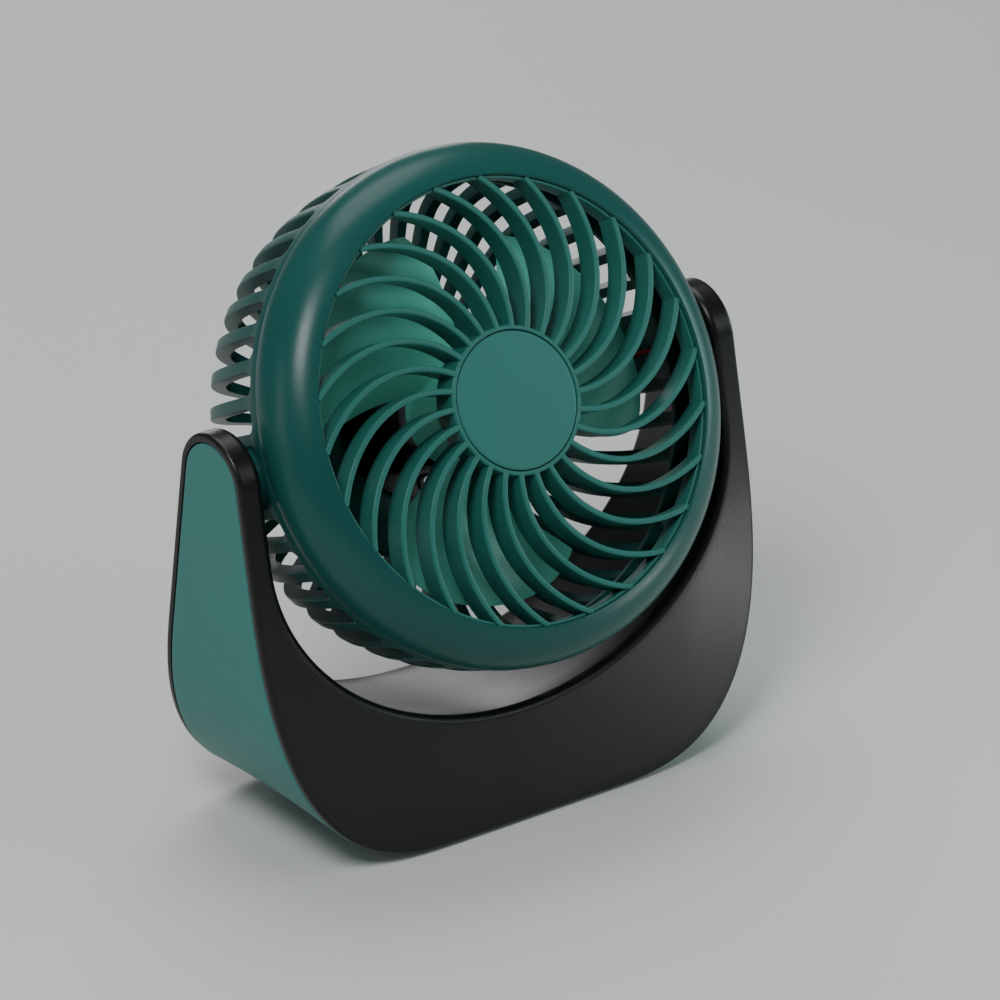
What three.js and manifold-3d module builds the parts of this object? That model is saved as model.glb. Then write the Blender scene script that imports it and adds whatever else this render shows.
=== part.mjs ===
import * as THREE from "three";
import { mergeVertices } from "three/addons/utils/BufferGeometryUtils.js";
import Module from "manifold-3d";

// Desk fan: a round head with a swirl grille, held by its sides in a U-shaped stand.
// Millimetres, +Z up, the fan blows towards -Y, the origin lies under the middle of the stand.

// stand
const padHeight = 1;
const halfWidth = 85;
const armRadius = 14.7;
const armCentreY = 3.2;
const armCentreZ = 112.5;
const frontLean = THREE.MathUtils.degToRad(11.41);
const rearLean = THREE.MathUtils.degToRad(8.18);
const wall = 2.2;
const coverWall = 2;
const gap = 0.3;
const frontCorner = { rx: 58.6, rz: 90, power: 2.755 };
const rearCorner = { rx: 66, rz: 66, power: 2.6 };
const cornerSteps = 10;
const channelHalfWidth = 77.1;
const channelHalfHeight = 59.9;
const channelCentreZ = 92.2;
const channelSteps = 28;
const beyond = 20;
const topZ = 150;

// head, in its own frame: origin on the tilt axis, -Y to the front
const pivotY = 3.2;
const pivotZ = 110.5;
const restTilt = THREE.MathUtils.degToRad(27.6);
const ringSegments = 60;
const bezelMajor = 59.5;
const bezelMinor = 14;
const bezelWall = 2.2;
const bezelCentreY = -15.3;
const bezelBackY = -12;
const openingRadius = 62.85;
const ribCount = 26;
const ribWidth = 1.9;
const ribSteps = 7;
const ribSweep = THREE.MathUtils.degToRad(31.6);
const ribPhase = THREE.MathUtils.degToRad(6.3);
const ribPower = 1.55;
const grilleFrontY = -27.2;
const grilleBackY = -21.2;
const grilleHubRadius = 20.6;
const grilleRimInner = 61;
const grilleRimOuter = 62.5;
const capRadius = 19.4;
const slotCount = 44;
const slotShare = 0.62;
const cageDepth = 3;
const bossRadius = 9;
const bossFaceX = 76.6;
const spigotRadius = 4;
const spigotEndX = 80.2;
const motorRadius = 12.2;
const fanRadius = 55;
const bladeCount = 3;
const bladeStart = THREE.MathUtils.degToRad(2);
const bladeMidY = -4;

// small fittings
const screwHole = 1.4;
const screwShank = 1.1;
const screwHead = 2.6;
const postRadius = 3.2;
const postX = 38;
const postFrontY = -22;
const postRearY = 18;
const buttonRadius = 5;
const buttonZ = 11.5;
const socketX = -14;
const socketZ = 8.4;
const lampX = 12;

const wasm = await Module();
wasm.setup();
const weld = 1e-4;
const sliver = 2e-3;
const fine = 28;
const coarse = 16;

const colours = {
  green: [0x2f6a63, 0.5, 0],
  greenDeep: [0x1c4f49, 0.45, 0],
  greenBright: [0x3b8d78, 0.4, 0],
  black: [0x141615, 0.42, 0],
  steel: [0xb9bcbf, 0.35, 1],
  brass: [0xb5964e, 0.35, 1],
  zinc: [0x8d9194, 0.45, 1],
  rubber: [0x202222, 0.85, 0],
  board: [0x1d5a35, 0.55, 0],
  cell: [0x2f5f9a, 0.4, 0],
  nylon: [0xe4e2da, 0.6, 0],
  lens: [0xdfe8e6, 0.25, 0],
  lead: [0x7d1f1c, 0.55, 0],
};

const root = new THREE.Group();
root.position.z = padHeight;
const head = new THREE.Group();
head.position.set(0, pivotY, pivotZ);
head.rotation.x = -restTilt;
root.add(head);

// Turns a triangle list so that its faces point outwards.
function facingOut(geometry) {
  const flat = geometry.index ? geometry.toNonIndexed() : geometry.clone();
  const p = flat.getAttribute("position");
  const a = new THREE.Vector3();
  const b = new THREE.Vector3();
  const c = new THREE.Vector3();
  let volume = 0;
  for (let i = 0; i < p.count; i += 3) {
    a.fromBufferAttribute(p, i);
    b.fromBufferAttribute(p, i + 1);
    c.fromBufferAttribute(p, i + 2);
    volume += a.dot(b.cross(c));
  }
  const out = new THREE.BufferGeometry();
  out.setAttribute("position", p);
  if (volume < 0) {
    for (let i = 0; i < p.count; i += 3) {
      b.fromBufferAttribute(p, i + 1);
      c.fromBufferAttribute(p, i + 2);
      p.setXYZ(i + 1, c.x, c.y, c.z);
      p.setXYZ(i + 2, b.x, b.y, b.z);
    }
  }
  return out;
}

// Boolean work stays with solids; a plain geometry is taken in where one is given.
function toSolid(geometry) {
  if (!geometry.isBufferGeometry) return geometry;
  const merged = mergeVertices(facingOut(geometry), weld);
  const kept = [];
  const index = merged.index.array;
  for (let i = 0; i < index.length; i += 3) {
    const [a, b, c] = [index[i], index[i + 1], index[i + 2]];
    if (a !== b && b !== c && c !== a) kept.push(a, b, c);
  }
  const vertProperties = merged.attributes.position.array;
  const triVerts = new Uint32Array(kept);
  return new wasm.Manifold(new wasm.Mesh({ numProp: 3, vertProperties, triVerts }));
}

function toGeometry(solid) {
  if (solid.isBufferGeometry) return solid;
  const mesh = solid.asOriginal().simplify(sliver).getMesh();
  const geometry = new THREE.BufferGeometry();
  const places = new Float32Array(mesh.vertProperties);
  geometry.setAttribute("position", new THREE.BufferAttribute(places, mesh.numProp));
  geometry.setIndex(new THREE.BufferAttribute(new Uint32Array(mesh.triVerts), 1));
  return geometry;
}

function join(...parts) {
  return parts.map(toSolid).reduce((a, b) => a.add(b));
}

function cut(part, ...tools) {
  return tools.map(toSolid).reduce((a, b) => a.subtract(b), toSolid(part));
}

function common(part, ...others) {
  return others.map(toSolid).reduce((a, b) => a.intersect(b), toSolid(part));
}

function add(parent, name, geometry, [colour, roughness, metalness]) {
  const shape = facingOut(toGeometry(geometry));
  shape.computeVertexNormals();
  const mesh = new THREE.Mesh(shape, new THREE.MeshStandardMaterial({ color: colour, roughness, metalness }));
  mesh.name = name;
  parent.add(mesh);
}

function block(x0, x1, y0, y1, z0, z1) {
  const geometry = new THREE.BoxGeometry(x1 - x0, y1 - y0, z1 - z0);
  return geometry.translate((x0 + x1) / 2, (y0 + y1) / 2, (z0 + z1) / 2);
}

// A turned shape about the Y axis from closed (radius, y) pairs.
function turned(pairs, segments = fine) {
  const points = pairs.map(([r, y]) => new THREE.Vector2(r, y));
  const geometry = new THREE.LatheGeometry(points, segments);
  const list = geometry.getAttribute("position").array;
  for (let i = 0; i < list.length; i += 1) list[i] = Math.round(list[i] / weld) * weld;
  return geometry;
}

function ringPairs(inner, outer, y0, y1) {
  return [[inner, y0], [outer, y0], [outer, y1], [inner, y1], [inner, y0]];
}

function discPairs(radius, y0, y1) {
  return [[0, y0], [radius, y0], [radius, y1], [0, y1]];
}

const alongX = (geometry) => geometry.rotateZ(-Math.PI / 2);
const alongZ = (geometry) => geometry.rotateX(Math.PI / 2);

// A straight or tapering block between two outlines of the same number of points.
function prism(outlineA, outlineB, placeA, placeB) {
  const near = outlineA.map(placeA);
  const far = outlineB.map(placeB);
  const order = outlineA.map((p, i) => i);
  if (THREE.ShapeUtils.isClockWise(outlineA)) order.reverse();
  const faces = THREE.ShapeUtils.triangulateShape(order.map((i) => outlineA[i]), []);
  const list = [];
  for (const [a, b, c] of faces.map((face) => face.map((k) => order[k]))) {
    list.push(near[a], near[c], near[b], far[a], far[b], far[c]);
  }
  for (let k = 0; k < order.length; k += 1) {
    const i = order[k];
    const j = order[(k + 1) % order.length];
    list.push(near[i], near[j], far[j], near[i], far[j], far[i]);
  }
  return new THREE.BufferGeometry().setFromPoints(list);
}

// A closed sheet of two grids of points, front and back, joined round their edges.
function thickSheet(front, back) {
  const rows = front.length;
  const columns = front[0].length;
  const list = [];
  const quad = (a, b, c, d) => list.push(a, b, c, a, c, d);
  for (let i = 0; i + 1 < rows; i += 1) {
    for (let j = 0; j + 1 < columns; j += 1) {
      quad(front[i][j], front[i + 1][j], front[i + 1][j + 1], front[i][j + 1]);
      quad(back[i][j], back[i][j + 1], back[i + 1][j + 1], back[i + 1][j]);
    }
    quad(front[i][0], back[i][0], back[i + 1][0], front[i + 1][0]);
    const last = columns - 1;
    quad(front[i][last], front[i + 1][last], back[i + 1][last], back[i][last]);
  }
  for (let j = 0; j + 1 < columns; j += 1) {
    quad(front[0][j], front[0][j + 1], back[0][j + 1], back[0][j]);
    const last = rows - 1;
    quad(front[last][j], back[last][j], back[last][j + 1], front[last][j + 1]);
  }
  return new THREE.BufferGeometry().setFromPoints(list);
}

// Round lead along a smooth line through the given points.
function lead(points, radius) {
  const path = new THREE.CatmullRomCurve3(points.map((p) => new THREE.Vector3(...p)));
  const shape = new THREE.Shape();
  shape.absarc(0, 0, radius, 0, Math.PI * 2);
  return new THREE.ExtrudeGeometry(shape, { extrudePath: path, steps: points.length * 3, curveSegments: 3 });
}

// Screw with a domed head at z = 0 pointing up and its shank going down.
function screw(shankLength, headRadius = screwHead, headHeight = 1.5) {
  const pairs = [
    [0, headHeight], [headRadius * 0.7, headHeight], [headRadius, headHeight * 0.4], [headRadius, 0],
    [screwShank, 0], [screwShank, -shankLength + screwShank], [0, -shankLength],
  ];
  const slotWide = headRadius * 0.24;
  const slotLong = headRadius * 0.62;
  const floorY = headHeight * 0.45;
  const slot = new THREE.BoxGeometry(slotLong * 2, headHeight, slotWide);
  slot.translate(0, floorY + headHeight / 2, 0);
  return toGeometry(cut(turned(pairs, 10), slot));
}

// ---- stand outlines ----

function frontY(z, inset = 0) {
  return armCentreY - (armRadius - inset) / Math.cos(frontLean) - Math.tan(frontLean) * (armCentreZ - z);
}

function rearY(z, inset = 0) {
  return armCentreY + (armRadius - inset) / Math.cos(rearLean) + Math.tan(rearLean) * (armCentreZ - z);
}

// Front view of the stand: straight sides, wide rounded lower corners, flat underside.
function standOutline(corner, inset) {
  const right = [new THREE.Vector2(halfWidth - inset, topZ)];
  const centreX = halfWidth - corner.rx;
  for (let i = 0; i <= cornerSteps; i += 1) {
    const angle = (i / cornerSteps) * Math.PI * 0.5;
    const x = centreX + (corner.rx - inset) * Math.max(Math.cos(angle), 0) ** (2 / corner.power);
    const z = corner.rz - (corner.rz - inset) * Math.sin(angle) ** (2 / corner.power);
    right.push(new THREE.Vector2(x, z));
  }
  const left = right.map((p) => new THREE.Vector2(-p.x, p.y)).reverse();
  return [...right, ...left];
}

function standBlock(inset) {
  const front = standOutline(frontCorner, inset);
  const rear = standOutline(rearCorner, inset);
  const reach = 0.12;
  const place = (share) => (p, i) => {
    const a = new THREE.Vector3(front[i].x, frontY(front[i].y), front[i].y);
    const b = new THREE.Vector3(rear[i].x, rearY(rear[i].y), rear[i].y);
    return a.lerp(b, share);
  };
  return prism(front, rear, place(-reach), place(1 + reach));
}

// Side view of the stand: leaning front and back, round arm tops.
function sideBlock(inset) {
  const points = [new THREE.Vector2(frontY(-beyond, inset), -beyond)];
  const from = Math.PI - frontLean;
  const steps = 12;
  for (let i = 0; i <= steps; i += 1) {
    const angle = from + (rearLean - from) * (i / steps);
    const r = armRadius - inset;
    points.push(new THREE.Vector2(armCentreY + r * Math.cos(angle), armCentreZ + r * Math.sin(angle)));
  }
  points.push(new THREE.Vector2(rearY(-beyond, inset), -beyond));
  const place = (x) => (p) => new THREE.Vector3(x, p.x, p.y);
  return prism(points, points, place(-halfWidth - beyond), place(halfWidth + beyond));
}

// The channel that the head swings in, square to the leaning front.
function channelBlock(outset) {
  const halfW = channelHalfWidth + outset;
  const halfH = channelHalfHeight + outset;
  const points = [new THREE.Vector2(halfW, topZ + beyond)];
  for (let i = 0; i <= channelSteps; i += 1) {
    const angle = (i / channelSteps) * Math.PI;
    points.push(new THREE.Vector2(halfW * Math.cos(angle), channelCentreZ - halfH * Math.sin(angle)));
  }
  points.push(new THREE.Vector2(-halfW, topZ + beyond));
  const place = (t) => (p) => new THREE.Vector3(p.x, frontY(p.y) + t, p.y - Math.tan(frontLean) * t);
  return prism(points, points, place(-beyond), place(armRadius * 8));
}

const postPlaces = [[-postX, postFrontY], [postX, postFrontY], [-postX, postRearY], [postX, postRearY]];

function upright(radius, x, y, z0, z1, segments = coarse) {
  return alongZ(turned(discPairs(radius, z0, z1), segments)).translate(x, y, 0);
}

// Places a shape made along Y so that it leaves square through the back of the stand.
function throughBack(geometry, x, z) {
  return geometry.rotateX(rearLean).translate(x, rearY(z), z);
}

function standBody() {
  const hollow = cut(sideBlock(wall), channelBlock(wall));
  const shell = cut(common(standBlock(0), sideBlock(0)), hollow);
  const posts = postPlaces.map(([x, y]) => upright(postRadius, x, y, 4.6, 44));
  const pivotHole = alongX(turned(discPairs(6.3, -halfWidth * 1.1, halfWidth * 1.1), coarse));
  pivotHole.translate(0, pivotY, pivotZ);
  const holes = postPlaces.map(([x, y]) => upright(screwHole, x, y, 2, 16));
  const buttonHole = throughBack(turned(discPairs(buttonRadius + gap, -4, 4)), 0, buttonZ);
  const socketHole = throughBack(block(-4.9, 4.9, -4, 4, -2.1, 2.1), socketX, socketZ);
  const lampHole = throughBack(turned(discPairs(1.6, -4, 4), coarse), lampX, buttonZ);
  const pinHole = alongX(turned(discPairs(1.6, channelHalfWidth - 2, channelHalfWidth + 4), coarse));
  pinHole.translate(0, pivotY, pivotZ - 11);
  const body = cut(join(shell, ...posts), channelBlock(0), ...holes, buttonHole, socketHole, lampHole);
  return cut(body, pivotHole, pinHole);
}

const padHalfX = 27;
const padHalfY = 27;

function padBlock(grow, z0, z1) {
  const shape = new THREE.Shape();
  const r = 5;
  const x = padHalfX + grow;
  const y = padHalfY + grow;
  shape.moveTo(-x + r, -y);
  shape.lineTo(x - r, -y);
  shape.absarc(x - r, -y + r, r, -Math.PI / 2, 0);
  shape.absarc(x - r, y - r, r, 0, Math.PI / 2);
  shape.absarc(-x + r, y - r, r, Math.PI / 2, Math.PI);
  shape.absarc(-x + r, -y + r, r, Math.PI, Math.PI * 1.5);
  const settings = { depth: z1 - z0, bevelEnabled: false, curveSegments: 6 };
  return new THREE.ExtrudeGeometry(shape, settings).translate(0, 0, z0);
}

// Green band that closes the stand round its sides and underside.
function outerCover() {
  const whole = common(standBlock(0), sideBlock(wall + gap));
  const band = cut(whole, standBlock(coverWall), channelBlock(wall + gap));
  const thick = postPlaces.map(([x, y]) => upright(postRadius + 1.4, x, y, 1, 3.3));
  const inside = common(standBlock(0), sideBlock(wall + gap));
  const stiffened = join(band, ...thick.map((t) => common(t, inside)));
  const heads = postPlaces.map(([x, y]) => upright(screwHead + 0.4, x, y, -1, 1.9));
  const holes = postPlaces.map(([x, y]) => upright(screwHole, x, y, 0, 4));
  return cut(stiffened, ...heads, ...holes, padBlock(gap, -1, 0.8));
}

// ---- stand fittings ----

function addStand() {
  add(root, "stand_body", standBody(), colours.black);
  add(root, "outer_cover", outerCover(), colours.green);
  add(root, "anti_slip_pad", padBlock(0, -padHeight, 0.5), colours.rubber);
  postPlaces.forEach(([x, y], i) => {
    const shape = screw(9).rotateX(-Math.PI / 2).translate(x, y, 1.6);
    add(root, `cover_screw_${i + 1}`, shape, colours.zinc);
  });
  addPower();
  addControls();
  for (const side of [-1, 1]) {
    const name = side < 0 ? "left" : "right";
    const shape = alongX(turned(ringPairs(4.3, 6, 77.1, 79.6), coarse));
    if (side < 0) shape.rotateZ(Math.PI);
    add(root, `pivot_bush_${name}`, shape.translate(0, pivotY, pivotZ), colours.nylon);
  }
  const pin = alongX(turned(discPairs(1.3, 74.9, 79.2), coarse)).translate(0, pivotY, pivotZ - 11);
  add(root, "stop_pin", pin, colours.steel);
  for (const side of [-1, 1]) {
    const x = side < 0 ? [-54, -40] : [40, 54];
    add(root, `ballast_${side < 0 ? "left" : "right"}`, block(x[0], x[1], -10, 10, 8.5, 15), colours.zinc);
  }
}

const cellRadius = 9;
const cellHalf = 32.5;
const cellY = -8;
const cellZ = 13.6;

function addPower() {
  const cell = alongX(turned([
    [0, -cellHalf], [cellRadius - 0.6, -cellHalf], [cellRadius, -cellHalf + 0.6], [cellRadius, cellHalf - 3],
    [cellRadius - 0.5, cellHalf - 2.4], [cellRadius, cellHalf - 1.8], [cellRadius, cellHalf - 0.6],
    [cellRadius - 1, cellHalf], [2.8, cellHalf], [2.8, cellHalf + 0.9], [0, cellHalf + 0.9],
  ], coarse)).translate(0, cellY, cellZ);
  add(root, "battery_cell", cell, colours.cell);
  const trayBlock = block(-37, 37, -18, 2, 3.4, 11);
  const trayHole = discPairs(cellRadius + gap, -cellHalf - 1.9, cellHalf + 2.4);
  const hole = alongX(turned(trayHole, coarse));
  add(root, "battery_cradle", cut(trayBlock, hole.translate(0, cellY, cellZ)), colours.black);
  add(root, "battery_tab_minus", block(-34.1, -33.1, -11, -5, 6, 17), colours.steel);
  add(root, "battery_tab_plus", block(33.7, 34.6, -11, -5, 6, 17), colours.steel);
}

function addControls() {
  add(root, "control_board", block(-20, 20, 7, 26, 4.2, 5.8), colours.board);
  const chip = block(-3, 3, 11, 15, 6.1, 7.3);
  add(root, "control_chip", chip, colours.black);
  const shell = cut(block(-4.5, 4.5, -6.5, 0.4, -1.7, 1.7), block(-4, 4, -5.8, 2, -1.2, 1.2));
  const tongue = block(-3.2, 3.2, -6.1, -1.2, -0.35, 0.35);
  add(root, "usb_socket", throughBack(toGeometry(join(shell, tongue)), socketX, socketZ), colours.steel);
  const capPairs = [
    [0, 1.1], [3.6, 1.0], [4.6, 0.7], [buttonRadius, 0.1], [buttonRadius, -2.6],
    [buttonRadius + 1.2, -2.6], [buttonRadius + 1.2, -3.6], [1.6, -3.6], [1.6, -4.4], [0, -4.4],
  ];
  add(root, "power_button", throughBack(turned(capPairs, coarse), 0, buttonZ), colours.black);
  const switchBody = join(block(-3, 3, -9.4, -5.9, -3.9, 3), turnedAt([0, 1.2, -6, -5.5]));
  add(root, "tact_switch", throughBack(toGeometry(switchBody), 0, buttonZ), colours.steel);
  const pipe = turned([[0, 0.5], [0.9, 0.4], [1.3, 0], [1.3, -4.6], [0, -4.6]], coarse);
  add(root, "light_pipe", throughBack(pipe, lampX, buttonZ), colours.lens);
  const baseLead = lead([
    [21.5, 14, 7.5], [36, 10, 17], [50, 5, 22], [66, 3.2, 42], [75, 3.2, 60], [80.4, 3.2, 82],
    [82.1, 3.2, 98], [82.1, 3.2, 107.5], [81.2, 3.2, 110.3], [78.6, 3.2, 110.5],
  ], 0.7);
  add(root, "stand_lead", baseLead, colours.lead);
}

function turnedAt([r0, r1, y0, y1]) {
  return turned(r0 > 0 ? ringPairs(r0, r1, y0, y1) : discPairs(r1, y0, y1), coarse);
}

// ---- head ----

function bezelPairs() {
  const outer = [];
  const inner = [];
  const from = THREE.MathUtils.degToRad(73);
  const innerFrom = Math.acos((openingRadius + bezelWall - bezelMajor) / (bezelMinor - bezelWall));
  const steps = 7;
  const innerSteps = 4;
  for (let i = 0; i <= steps; i += 1) {
    const a = from * (1 - i / steps);
    outer.push([bezelMajor + bezelMinor * Math.cos(a), bezelCentreY - bezelMinor * Math.sin(a)]);
  }
  for (let i = 0; i <= innerSteps; i += 1) {
    const b = innerFrom * (i / innerSteps);
    const r = bezelMinor - bezelWall;
    inner.push([bezelMajor + r * Math.cos(b), bezelCentreY - r * Math.sin(b)]);
  }
  const lip = [[openingRadius, -25.6], [openingRadius, -27.7], [openingRadius + 0.25, -28.35]];
  const rim = [[73.4, bezelBackY], [71.2, bezelBackY]];
  return [...lip, ...outer, ...rim, ...inner, [openingRadius, -25.6]];
}

const framePlaces = [45, 135, 225, 315].map((d) => THREE.MathUtils.degToRad(d));
const frameRadius = 66.8;

function aroundAxis(geometry, angle, radius) {
  return geometry.translate(radius * Math.cos(angle), 0, radius * Math.sin(angle));
}

function frontBezel() {
  const bosses = framePlaces.map((a) => {
    return aroundAxis(turned(discPairs(2.5, -23.2, -12.2), 20), a, frameRadius);
  });
  const holes = framePlaces.map((a) => {
    return aroundAxis(turned(discPairs(screwHole, -21, -11), 20), a, frameRadius);
  });
  return cut(join(turned(bezelPairs(), ringSegments), ...bosses), ...holes);
}

// Angle by which a swirl rib has turned at a share u of its way out: straight at first, then ever more.
function ribTurn(u) {
  return ribSweep * u ** ribPower;
}

function grillePlate() {
  const shape = new THREE.Shape();
  shape.absarc(0, 0, grilleRimOuter, 0, Math.PI * 2);
  const inner = grilleHubRadius;
  const outer = grilleRimInner;
  for (let k = 0; k < ribCount; k += 1) {
    const start = ribPhase + (k / ribCount) * Math.PI * 2;
    const pitch = (Math.PI * 2) / ribCount;
    const low = [];
    const high = [];
    for (let i = 0; i <= ribSteps; i += 1) {
      const u = i / ribSteps;
      const r = inner + (outer - inner) * u;
      const slope = (ribTurn(Math.min(u + 0.01, 1)) - ribTurn(Math.max(u - 0.01, 0))) / 0.02;
      const stretch = Math.sqrt(1 + ((slope * r) / (outer - inner)) ** 2);
      const half = (ribWidth * stretch) / (2 * r);
      const angle = start + ribTurn(u);
      low.push(new THREE.Vector2(r * Math.cos(angle + half), r * Math.sin(angle + half)));
      const far = angle + pitch - half;
      high.push(new THREE.Vector2(r * Math.cos(far), r * Math.sin(far)));
    }
    shape.holes.push(new THREE.Path([...low, ...high.reverse()]));
  }
  const depth = grilleBackY - grilleFrontY;
  const plate = new THREE.ExtrudeGeometry(shape, { depth, bevelEnabled: false, curveSegments: ringSegments });
  return plate.rotateX(Math.PI / 2).translate(0, grilleBackY, 0);
}

function frontGrille() {
  const flange = turned(ringPairs(grilleRimInner + 0.4, 63.9, -25.2, -23.4), ringSegments);
  const hub = turned([
    [0, -27.5], [capRadius + gap, -27.5], [capRadius + gap, -29.3], [grilleHubRadius - 0.1, -29.1],
    [grilleHubRadius + 0.3, -28.6], [grilleHubRadius + 0.3, grilleBackY], [17.5, grilleBackY],
    [17, -25.3], [0, -25.3],
  ], fine);
  return join(grillePlate(), flange, hub);
}

// Side and back wall of the cage in (radius, y), outer skin.
const cageOuter = [
  [73.3, -11.7], [73.1, -8.6], [71.7, 6], [69.2, 18], [65.6, 25.6], [60.6, 30.2], [50, 33], [34.5, 34],
];
const slotFirst = 1;
const slotLast = 7;

function cageInner() {
  return cageOuter.map(([r, y], i) => {
    const [ra, ya] = cageOuter[Math.max(i - 1, 0)];
    const [rb, yb] = cageOuter[Math.min(i + 1, cageOuter.length - 1)];
    const length = Math.hypot(rb - ra, yb - ya);
    return [r - (cageDepth * (yb - ya)) / length, y + (cageDepth * (rb - ra)) / length];
  });
}

// The slotted wall is laid out cell by cell: each slot leaves out the cells between two ribs.
function cageWall() {
  const inner = cageInner();
  const pitch = (Math.PI * 2) / slotCount;
  const angles = [];
  const open = [];
  for (let k = 0; k < slotCount; k += 1) {
    const centre = (k + 0.5) * pitch;
    const fromSide = Math.abs(Math.cos(centre)) > Math.cos(pitch);
    angles.push(centre - (pitch * slotShare) / 2, centre + (pitch * slotShare) / 2);
    open.push(!fromSide, false);
  }
  const rows = cageOuter.length - 1;
  const columns = angles.length;
  const isOpen = (i, j) => i >= slotFirst && i < slotLast && open[(j + columns) % columns];
  const solid = (i, j) => i >= 0 && i < rows && !isOpen(i, j);
  const at = (skin, i, j) => {
    const a = angles[j % columns];
    return new THREE.Vector3(skin[i][0] * Math.cos(a), skin[i][1], skin[i][0] * Math.sin(a));
  };
  const list = [];
  const quad = (a, b, c, d) => list.push(a, b, c, a, c, d);
  for (let i = 0; i < rows; i += 1) {
    for (let j = 0; j < columns; j += 1) {
      if (!solid(i, j)) continue;
      const k = j + 1;
      quad(at(cageOuter, i, j), at(cageOuter, i, k), at(cageOuter, i + 1, k), at(cageOuter, i + 1, j));
      quad(at(inner, i, j), at(inner, i + 1, j), at(inner, i + 1, k), at(inner, i, k));
      if (!solid(i - 1, j)) {
        quad(at(cageOuter, i, j), at(inner, i, j), at(inner, i, k), at(cageOuter, i, k));
      }
      if (!solid(i + 1, j)) {
        quad(at(cageOuter, i + 1, j), at(cageOuter, i + 1, k), at(inner, i + 1, k), at(inner, i + 1, j));
      }
      if (!solid(i, j - 1)) {
        quad(at(cageOuter, i, j), at(cageOuter, i + 1, j), at(inner, i + 1, j), at(inner, i, j));
      }
      if (!solid(i, j + 1)) {
        quad(at(cageOuter, i, k), at(inner, i, k), at(inner, i + 1, k), at(cageOuter, i + 1, k));
      }
    }
  }
  return new THREE.BufferGeometry().setFromPoints(list);
}

const bracketScrewRadius = 17.6;
const bracketPlaces = [30, 150, 270].map((d) => THREE.MathUtils.degToRad(d));

function rearCage() {
  const backDisc = turned([[0, 31.2], [37, 31.2], [37, 33.6], [0, 34]], slotCount);
  const flange = turned(ringPairs(63.5, 72, -11.6, -9.6), ringSegments);
  const bosses = [-1, 1].map((side) => {
    const shape = turned([
      [0, 69.2], [bossRadius, 69.2], [bossRadius, bossFaceX], [spigotRadius, bossFaceX],
      [spigotRadius, spigotEndX], [0, spigotEndX],
    ], coarse);
    return side > 0 ? alongX(shape) : alongX(shape).rotateZ(Math.PI);
  });
  const lug = block(74.4, 76.3, -1.4, 1.4, bossRadius - 1, bossRadius + 3.2);
  const leadHole = alongX(turned(discPairs(2.2, 60, 90), coarse));
  const pivotThread = alongX(turned(discPairs(screwHole, -90, -71.5), coarse));
  const flangeHoles = framePlaces.map((a) => {
    return aroundAxis(turned(discPairs(screwHole, -15, -5), 20), a, frameRadius);
  });
  const discHoles = bracketPlaces.map((a) => {
    return aroundAxis(turned(discPairs(screwHole, 28, 33), 20), a, bracketScrewRadius);
  });
  const whole = join(cageWall(), backDisc, flange, ...bosses, lug);
  return cut(whole, leadHole, pivotThread, ...flangeHoles, ...discHoles);
}

function bladeSheet(index) {
  const rows = 7;
  const columns = 6;
  const front = [];
  const back = [];
  for (let i = 0; i <= rows; i += 1) {
    const u = i / rows;
    const rowFront = [];
    const rowBack = [];
    for (let j = 0; j <= columns; j += 1) {
      const v = (j / columns) * 2 - 1;
      const round = 1 - 0.07 * v ** 4;
      const r = 13 + (fanRadius - 13) * u * (u > 0.5 ? round : 1);
      const half = THREE.MathUtils.degToRad(27 + 13 * Math.sin(u * Math.PI * 0.62));
      const middle = (index / bladeCount) * Math.PI * 2 + bladeStart + THREE.MathUtils.degToRad(16) * u;
      const angle = middle + half * v;
      const rise = (7.6 - 2.2 * u) * v - 1.6 * (1 - v * v);
      const y = bladeMidY + rise;
      rowFront.push(new THREE.Vector3(r * Math.cos(angle), y - 0.6, r * Math.sin(angle)));
      rowBack.push(new THREE.Vector3(r * Math.cos(angle), y + 0.6, r * Math.sin(angle)));
    }
    front.push(rowFront);
    back.push(rowBack);
  }
  return thickSheet(front, back);
}

function impeller() {
  const hub = turned([
    [0, -14.4], [9, -14], [12.4, -12.6], [14.2, -10], [14.6, 6], [12.8, 6], [12.6, -9.4],
    [11, -11.6], [3.4, -11.8], [3.4, 3.4], [1.3, 3.4], [1.3, -13], [0, -13],
  ], fine);
  const blades = [];
  for (let k = 0; k < bladeCount; k += 1) blades.push(bladeSheet(k));
  const hollow = turned(discPairs(12.6, -9.2, 8), fine);
  const sleeve = turned(ringPairs(1.3, 3.4, -11.9, 3.4), 24);
  const clean = blades.map((b) => cut(b, hollow));
  const shaftHole = turned(discPairs(1.3, -13, 5), 24);
  const cup = cut(turned(discPairs(12.6, -9.2, 7), fine), sleeve);
  return cut(join(hub, ...clean), shaftHole, cup);
}

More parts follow.
